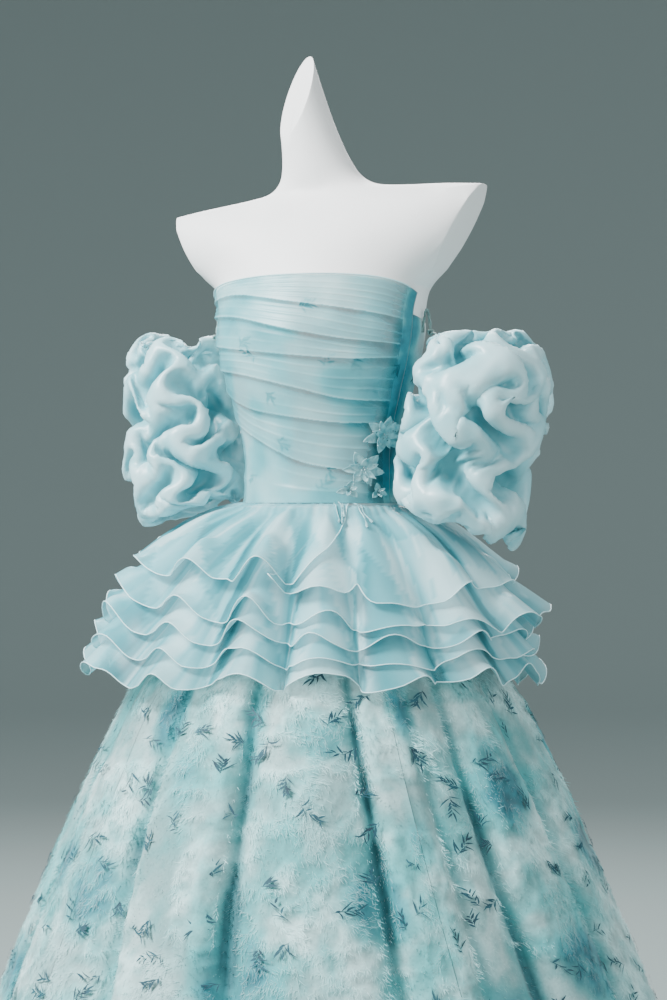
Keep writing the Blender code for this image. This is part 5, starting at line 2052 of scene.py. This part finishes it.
@dataclass
class Sleeve:
    """A detached puff of crumpled organza, open at its gathered head and cuff."""

    name: str
    node: str
    rings: tuple[SleeveRing, ...]
    seed: int
    cut: tuple[float, float]
    area: float
    rows: int = 100
    columns: int = 164
    spare_up: float = 0.50
    spare_round: float = 0.30
    deepest: float = -0.026
    highest: float = 0.003
    steps: int = 600
    lump: float = 0.062
    start_swell: float = 0.014
    slip: float = 0.998
    glide: float = 0.90
    haste: float = 2.6
    tacks: int = 9
    tack_depth: float = 0.024
    tack_width: float = 0.013
    lumpiness: float = 0.009
    facet: float = 0.0034
    held_rows: int = 2

    @property
    def crease_ways(self) -> np.ndarray:
        """Turns and squeezes space so that the fine creases run long and aslant."""
        lean = np.array([[0.80, 0.55, 0.24], [-0.60, 0.75, 0.28], [-0.03, -0.37, 0.93]])
        return lean * np.array([1.0, 0.85, 0.36])

    def envelope(self) -> np.ndarray:
        """Shape the puff before it is crumpled.

        Returns:
            Its points, from the head down to the cuff.
        """
        steps = np.arange(len(self.rings), dtype=float)
        values = np.array(self.rings)
        at = np.linspace(0.0, len(self.rings) - 1.0, self.rows)
        height, centre_x, centre_y, half_width, half_depth, tilt = (
            read([Edge(step, value) for step, value in zip(steps, values[:, field])], "height", at)[:, None]
            for field in range(6)
        )
        angle = np.arange(self.columns)[None, :] * 360.0 / self.columns
        x = centre_x + half_width * sine(angle)
        y = centre_y - half_depth * cosine(angle)
        return np.stack((x, y, height - tilt * (x - centre_x)), axis=-1)

    def settle(self, smooth: np.ndarray, out: np.ndarray, start: np.ndarray) -> np.ndarray:
        """Let cloth that is cut longer and wider than its place buckle into folds.

        Args:
            smooth: The envelope's points.
            out: The envelope's outward directions.
            start: Points to start from; the gathered rows at both ends stay there.

        Returns:
            The settled points.
        """
        fullness = 0.25 + 1.25 * soft_step(noise(smooth, 0.075, self.seed + 3), -0.45, 0.45)
        rng = np.random.default_rng(self.seed)
        rows = rng.uniform(0.16, 0.84, self.tacks) * self.rows
        columns = (np.arange(self.tacks) * 0.382 + rng.uniform(0.0, 0.10, self.tacks)) % 1.0 * self.columns
        highest = np.full((self.rows, self.columns, 1), self.highest)
        for row, column in zip(rows.astype(int), columns.astype(int)):
            away = np.linalg.norm(smooth - smooth[row, column], axis=-1, keepdims=True)
            pulled = self.highest - self.tack_depth * np.exp(-((away / self.tack_width) ** 2))
            highest = np.minimum(highest, pulled)
        springs = []
        for spring in SPRINGS:
            gap = np.roll(smooth, -spring.across, axis=1)[spring.down :] - smooth[: self.rows - spring.down]
            spare = self.spare_up if not spring.across else self.spare_round
            if spring.down and spring.across:
                spare = (self.spare_up + self.spare_round) / 2
            tight = 0.96 if max(spring.down, spring.across) > 1 else 1.0
            spare = spare * fullness[: self.rows - spring.down]
            springs.append((spring, np.linalg.norm(gap, axis=-1), spare, tight))
        total = 2 * sum(spring.stiffness for spring in SPRINGS)
        points = start.copy()
        before = points.copy()
        for step in range(self.steps):
            share = min(1.0, (step + 1) / (0.45 * self.steps))
            points, before = points + (points - before) * self.glide, points
            change = np.zeros_like(points)
            for spring, length, spare, tight in springs:
                ahead = np.roll(points, -spring.across, axis=1)[spring.down :]
                gap = ahead - points[: self.rows - spring.down]
                now = np.linalg.norm(gap, axis=-1)
                goal = length * (1 + spare * share) * tight
                pull = gap * (spring.stiffness * 0.5 * (now - goal) / np.maximum(now, 1e-9))[..., None]
                change[: self.rows - spring.down] += pull
                back = np.zeros_like(points)
                back[spring.down :] = pull
                change -= np.roll(back, spring.across, axis=1)
            points = points + change * (self.haste / total)
            move = points - smooth
            level = (move * out).sum(axis=-1, keepdims=True)
            kept = level + (np.clip(level, self.deepest, highest) - level) * 0.5
            points = smooth + (move - level * out) * self.slip + kept * out
            points[: self.held_rows] = start[: self.held_rows]
            points[-self.held_rows :] = start[-self.held_rows :]
        return points

    def build(self) -> None:
        """Build the crumpled puff."""
        smooth = self.envelope()
        out = face_out(smooth, True)
        part = np.linspace(0.0, 1.0, self.rows)[:, None]
        free = soft_step(part, 0.0, 0.12) * soft_step(1.0 - part, 0.0, 0.12)
        uneven = noise(smooth, 0.070, self.seed + 7) + 0.5 * noise(smooth, 0.035, self.seed + 8)
        smooth = smooth + out * (self.lumpiness * uneven * free)[..., None]
        bulges = noise(smooth * np.array([1.0, 1.0, 0.55]), self.lump, self.seed)
        bulges = bulges + 0.5 * noise(smooth, self.lump / 2, self.seed + 1)
        start = smooth + out * ((bulges * self.start_swell - 0.006) * free)[..., None]
        settled = self.settle(smooth, out, start)
        turned = settled @ self.crease_ways
        crossed = turned[..., [1, 2, 0]]
        ridges = (1.0 - np.abs(noise(turned, 0.030, self.seed + 9))) ** 4
        ridges = ridges + 0.6 * (1.0 - np.abs(noise(crossed, 0.024, self.seed + 10))) ** 5
        ridges = ridges - 0.45
        settled = settled + face_out(settled, True) * (self.facet * ridges * free)[..., None]
        grid = self.clear_of_body(settled)
        made = sheet_piece(self.name, grid, True)
        level = ((grid - smooth) * out).sum(axis=-1)
        fine = noise(grid, 0.020, self.seed + 5)
        # Painted shade and highlight: the colour deepens where the cloth sinks in, partly its folded
        # layers, and pales on the crease ridges.
        depth = 0.12 - 19.0 * (level - self.highest) * (level < self.highest) + 0.10 * fine - 0.22 * ridges
        paint(made, "depth", np.clip(depth, 0.0, 1.0))
        carry(made, SLEEVE_ORGANZA, [self.node])
        declare(made, self.area)

    def clear_of_body(self, grid: np.ndarray) -> np.ndarray:
        """Move points straight out from the body's axis until they clear the bodice and its drape.

        Args:
            grid: The puff's points.

        Returns:
            The moved points.
        """
        height = np.minimum(grid[..., 2], BODY[-1].height)
        out = DRAPE_FACE + PLEATS_STAND_OUT + SLEEVE_CLEAR
        centre = read(BODY, "centre_y", height)
        wide = read(BODY, "half_width", height) + out
        deep = read(BODY, "half_depth", height) + out
        near = np.hypot(grid[..., 0] / wide, (grid[..., 1] - centre) / deep)
        grow = np.where(near < 1.0, 1.0 / np.maximum(near, 1e-6), 1.0)
        moved = grid.copy()
        moved[..., 0] = grid[..., 0] * grow
        moved[..., 1] = centre + (grid[..., 1] - centre) * grow
        return moved


class Bloom(NamedTuple):
    """A sewn-on flower or bud: its middle, its reach, its petals in a round and the first one's turn."""

    angle: float
    height: float
    reach: float
    petals: int
    turn: float


class HangingCord(NamedTuple):
    """A fine cord from a bud: its angle, its start, its length, and whether it lies on the wrap."""

    angle: float
    inner_reach: float
    length: float
    over_wrap: bool


BLOOMS = {
    "flower_upper": Bloom(62.0, 1.146, 0.030, 6, 80.0),
    "flower_lower": Bloom(46.0, 1.097, 0.026, 6, 55.0),
    "bud_left": Bloom(58.0, 1.0665, 0.0125, 3, 100.0),
    "bud_right": Bloom(36.0, 1.0685, 0.0140, 3, 80.0),
}
HANGING_CORDS = {
    "bead_cord_1": (
        HangingCord(29.0, 0.112, 0.044, True),
        HangingCord(31.5, 0.112, 0.060, True),
        HangingCord(34.0, 0.113, 0.052, True),
    ),
    "bead_cord_2": (HangingCord(43.0, 0.115, 0.062, False), HangingCord(46.5, 0.115, 0.046, False)),
}


@dataclass
class Trim:
    """Ties, sewn-on flowers with seed beads, and the fine cords that hang from the buds."""

    bead_radius: float = 0.0011
    petal_thickness: float = 0.0006
    cord_radius: float = 0.0009
    drop_radius: float = 0.0021

    def ties(self) -> None:
        """Twist the two ties between the sleeve heads and the bodice, each with a knot and a loose end."""
        for side, way in (("left", 1.0), ("right", -1.0)):
            start = body_point(1.290, 90.0 * way, 0.0038)
            landing = start + np.array([way * 0.012, 0.0, -0.0035])
            part = np.linspace(0.0, 1.0, 40)[:, None]
            turn = part[:, 0] * 22.0
            strands = []
            for strand in range(2):
                phase = turn + strand * np.pi
                wind = np.stack((np.cos(phase), np.sin(phase), 0 * phase), axis=-1) * 0.0011
                lift = np.array([0.0, 0.0, 0.034]) * np.sin(np.pi * part) ** 0.8
                line = start + (landing - start) * part + lift + wind
                strands.append(tube_piece("strand", line, 0.0012))
            bow = np.linspace(0.0, 2 * np.pi, 30)
            knot = np.stack((0.0032 * np.cos(bow), 0.0036 * np.sin(2 * bow), 0.0034 * np.sin(bow)), axis=-1)
            strands.append(tube_piece("knot", landing + knot + np.array([0.0, -0.001, 0.003]), 0.0017))
            fall = np.linspace(0.0, 1.0, 12)[:, None]
            tail = landing + np.array([way * 0.012, -0.010, 0.0]) * fall
            tail = tail + np.array([0.0, 0.0, 0.004]) * (1 - fall)
            strands.append(tube_piece("tail", tail, 0.0012))
            carry(join("sleeve_loop_" + side, strands), TIE, ["sleeve_tie_" + side])

    def petal(
        self, bloom: Bloom, turn: float, length: float, width: float, rise: float, base: float
    ) -> np.ndarray:
        """Points of one pointed, cupped petal, from its root to its tip.

        Args:
            bloom: The flower.
            turn: The petal's direction.
            length: From the flower's middle to the tip.
            width: Across its widest place.
            rise: How far the tip stands out.
            base: How far out the root lies from the body.

        Returns:
            A grid of points, with rows along the petal.
        """
        along = np.linspace(0.04, 1.0, 8)[:, None]
        across = np.linspace(-1.0, 1.0, 7)[None, :]
        half = width / 2 * np.sin(np.pi * along**0.8) ** 0.8 + 0.0002
        reach = length * along
        side = half * across
        lift = base + rise * along**1.5 + 0.22 * width * across**2 * np.sin(np.pi * along)
        lift = lift + 0.0007 * np.exp(-((across / 0.12) ** 2)) * (1 - along)
        x = reach * cosine(turn) - side * sine(turn)
        up = reach * sine(turn) + side * cosine(turn)
        angle = bloom.angle + np.degrees(x / read(BODY, "half_depth", bloom.height))
        return body_point(bloom.height + up, angle, lift)

    def flowers(self) -> None:
        """Fold the pointed petals in two rounds and sew seed beads on them."""
        for number, (node, bloom) in enumerate(BLOOMS.items()):
            rng = np.random.default_rng(900 + number)
            base = DRAPE_FACE + 0.0052
            petals = []
            for layer, (size, stand) in enumerate(((1.0, 0.0040), (0.66, 0.0075))):
                for petal in range(bloom.petals):
                    turn = bloom.turn + 360.0 * (petal + 0.5 * layer) / bloom.petals + rng.normal(0.0, 7.0)
                    length = bloom.reach * size * rng.uniform(0.86, 1.05)
                    wide = length * (0.50 if bloom.petals > 3 else 0.62)
                    grid = self.petal(bloom, turn, length, wide, stand, base + 0.0012 * layer)
                    petals.append(sheet_piece("petal", grid))
            made = join(node + "_petals", petals)
            thicken(made, self.petal_thickness)
            pick(made)
            bpy.ops.object.modifier_apply(modifier=made.modifiers[0].name)
            carry(made, RIBBON, [node])
            self.beads(made, node, bloom, rng)

    def beads(self, petals: Piece, node: str, bloom: Bloom, rng: np.random.Generator) -> None:
        """Sew a heart of seed beads in the middle of a flower, and a few more on its petals.

        Args:
            petals: The flower's petals.
            node: The flower's node.
            bloom: The flower.
            rng: Draws the beads' places.
        """
        count = len(petals.data.vertices)
        places = np.empty(count * 3, np.float32)
        petals.data.vertices.foreach_get("co", places)
        places = places.reshape(-1, 3)
        middle = body_point(bloom.height, bloom.angle, DRAPE_FACE + 0.0105)
        out = unit(np.array([middle[0], middle[1] + 0.008, 0.0]))
        heart = middle + rng.normal(0.0, 1.0, (9, 3)) * 0.0022
        sewn = rng.choice(count, 16 if bloom.petals > 3 else 5, replace=False)
        spread = places[sewn] + out * self.bead_radius
        centres = np.concatenate((heart, spread))
        bpy.ops.object.select_all(action="DESELECT")
        bpy.ops.mesh.primitive_uv_sphere_add(segments=10, ring_count=6, radius=self.bead_radius)
        pattern = bpy.context.active_object
        size = len(pattern.data.vertices)
        ball = np.empty(size * 3, np.float32)
        pattern.data.vertices.foreach_get("co", ball)
        shape = [tuple(face.vertices) for face in pattern.data.polygons]
        bpy.data.objects.remove(pattern, do_unlink=True)
        shape = np.array([face if len(face) == 4 else (*face, face[2]) for face in shape])
        triangles = np.concatenate((shape[:, [0, 1, 2]], shape[:, [0, 2, 3]]))
        triangles = triangles[triangles[:, 1] != triangles[:, 2]]
        points = centres[:, None] + ball.reshape(-1, 3)[None]
        faces = (np.arange(len(centres))[:, None, None] * size + triangles[None]).reshape(-1, 3)
        carry(piece_of(node + "_beads", points, faces), BEADS)

    def cords(self) -> None:
        """Hang the fine cords down the peplum, each with a drop bead at its end."""
        bpy.context.view_layer.update()
        for node, cords in HANGING_CORDS.items():
            strands = []
            for cord in cords:
                under = bpy.data.objects["peplum_top_right" if cord.over_wrap else "peplum_top_left"]
                steps = np.linspace(0.0, 1.0, 16)
                radius = np.full(16, self.cord_radius)
                radius[-3:] = (self.drop_radius * 0.8, self.drop_radius, self.drop_radius * 0.6)
                line = []
                for step in steps:
                    reach = cord.inner_reach + cord.length * 0.82 * step
                    angle = cord.angle + 0.8 * math.sin(step * 5.0 + cord.angle)
                    above = (reach * float(sine(angle)), -reach * float(cosine(angle)), 1.2)
                    hit, place, _, _ = under.ray_cast(above, (0.0, 0.0, -1.0))
                    if hit:
                        line.append((above[0], above[1], place.z + 0.0026 + 0.0012 * step))
                strands.append(tube_piece("strand", np.array(line), radius[-len(line) :]))
            carry(join("hanging_" + node, strands), RIBBON, [node])

    def build(self) -> None:
        """Build all the trim."""
        self.ties()
        self.flowers()
        self.cords()


@dataclass
class Studio:
    """Pale floor and backdrop, soft lamps, and the camera at the photograph's angle."""

    azimuth: float = 22.0
    distance: float = 3.6
    eye: float = 1.055
    aim_height: float = 1.0
    lens: float = 90.7
    shift: float = 0.0085
    floor_reach: float = 9.0
    sweep: float = 5.0
    wall_height: float = 8.0

    def backdrop(self) -> None:
        """Lay a pale floor that sweeps up into a wall all round, with no edge between them."""
        turn = np.radians(np.arange(96) * 3.75)[None, :]
        bend = np.linspace(0.0, np.pi / 2, 14)
        wall = self.floor_reach + self.sweep
        reach = np.concatenate(([0.001, 3.0], self.floor_reach + self.sweep * np.sin(bend), [wall]))
        height = np.concatenate(([0.0, 0.0], self.sweep * (1 - np.cos(bend)), [self.wall_height]))
        x = -reach[:, None] * np.sin(turn)
        y = -reach[:, None] * np.cos(turn)
        points = np.stack((x, y, height[:, None] + 0 * x), axis=-1)
        floor = piece_of("floor", points, grid_faces(len(reach), turn.shape[1], True))
        PAPER.on_stage(floor)

    def lamp(
        self, name: str, azimuth: float, elevation: float, distance: float, size: float, power: float
    ) -> None:
        """Add a soft square lamp that looks at the bodice.

        Args:
            name: The lamp's name.
            azimuth: Its angle round the dress.
            elevation: Its angle above the bodice.
            distance: From the bodice in metres.
            size: Of its side in metres.
            power: In watts.
        """
        data = bpy.data.lights.new(name, "AREA")
        data.shape = "SQUARE"
        data.size = size
        data.energy = power
        lamp = bpy.data.objects.new(name, data)
        bpy.context.scene.collection.objects.link(lamp)
        level = distance * float(cosine(elevation))
        rise = self.aim_height + distance * float(sine(elevation))
        lamp.location = (level * float(sine(azimuth)), -level * float(cosine(azimuth)), rise)
        lamp.rotation_euler = (math.radians(90 - elevation), 0.0, math.radians(azimuth))

    def camera(self) -> None:
        """Set the camera."""
        data = bpy.data.cameras.new("camera")
        data.lens = self.lens
        data.sensor_width = 36.0
        data.shift_x = self.shift
        data.clip_end = 100.0
        camera = bpy.data.objects.new("camera", data)
        bpy.context.scene.collection.objects.link(camera)
        camera.location = (
            self.distance * float(sine(self.azimuth)),
            -self.distance * float(cosine(self.azimuth)),
            self.eye,
        )
        camera.rotation_euler = (math.radians(90), 0.0, math.radians(self.azimuth))
        bpy.context.scene.camera = camera

    def build(self) -> None:
        """Build the studio."""
        self.backdrop()
        self.lamp("key", -38.0, 38.0, 3.6, 1.4, 400.0)
        self.lamp("fill", 72.0, 8.0, 4.2, 3.0, 80.0)
        self.lamp("back", 200.0, 34.0, 3.8, 2.0, 130.0)
        world = bpy.data.worlds.new("studio")
        world.use_nodes = True
        sky = world.node_tree.nodes["Background"]
        feed(world.node_tree, sky, {"Color": (*linear("#dfe6e8"), 1.0), "Strength": 0.9})
        bpy.context.scene.world = world
        self.camera()


def main() -> None:
    """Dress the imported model."""
    logging.basicConfig(level=logging.INFO, format="%(message)s")
    Studio().build()
    DressForm().build()
    Bodice().build()
    Skirt().build()
    Peplum().build()
    Sleeve("puff_left", "sleeve_left", SLEEVE_LEFT, 101, (0.86, 0.38), 0.300).build()
    Sleeve("puff_right", "sleeve_right", SLEEVE_RIGHT, 202, (0.76, 0.34), 0.245).build()
    Trim().build()


if __name__ == "__main__":
    main()
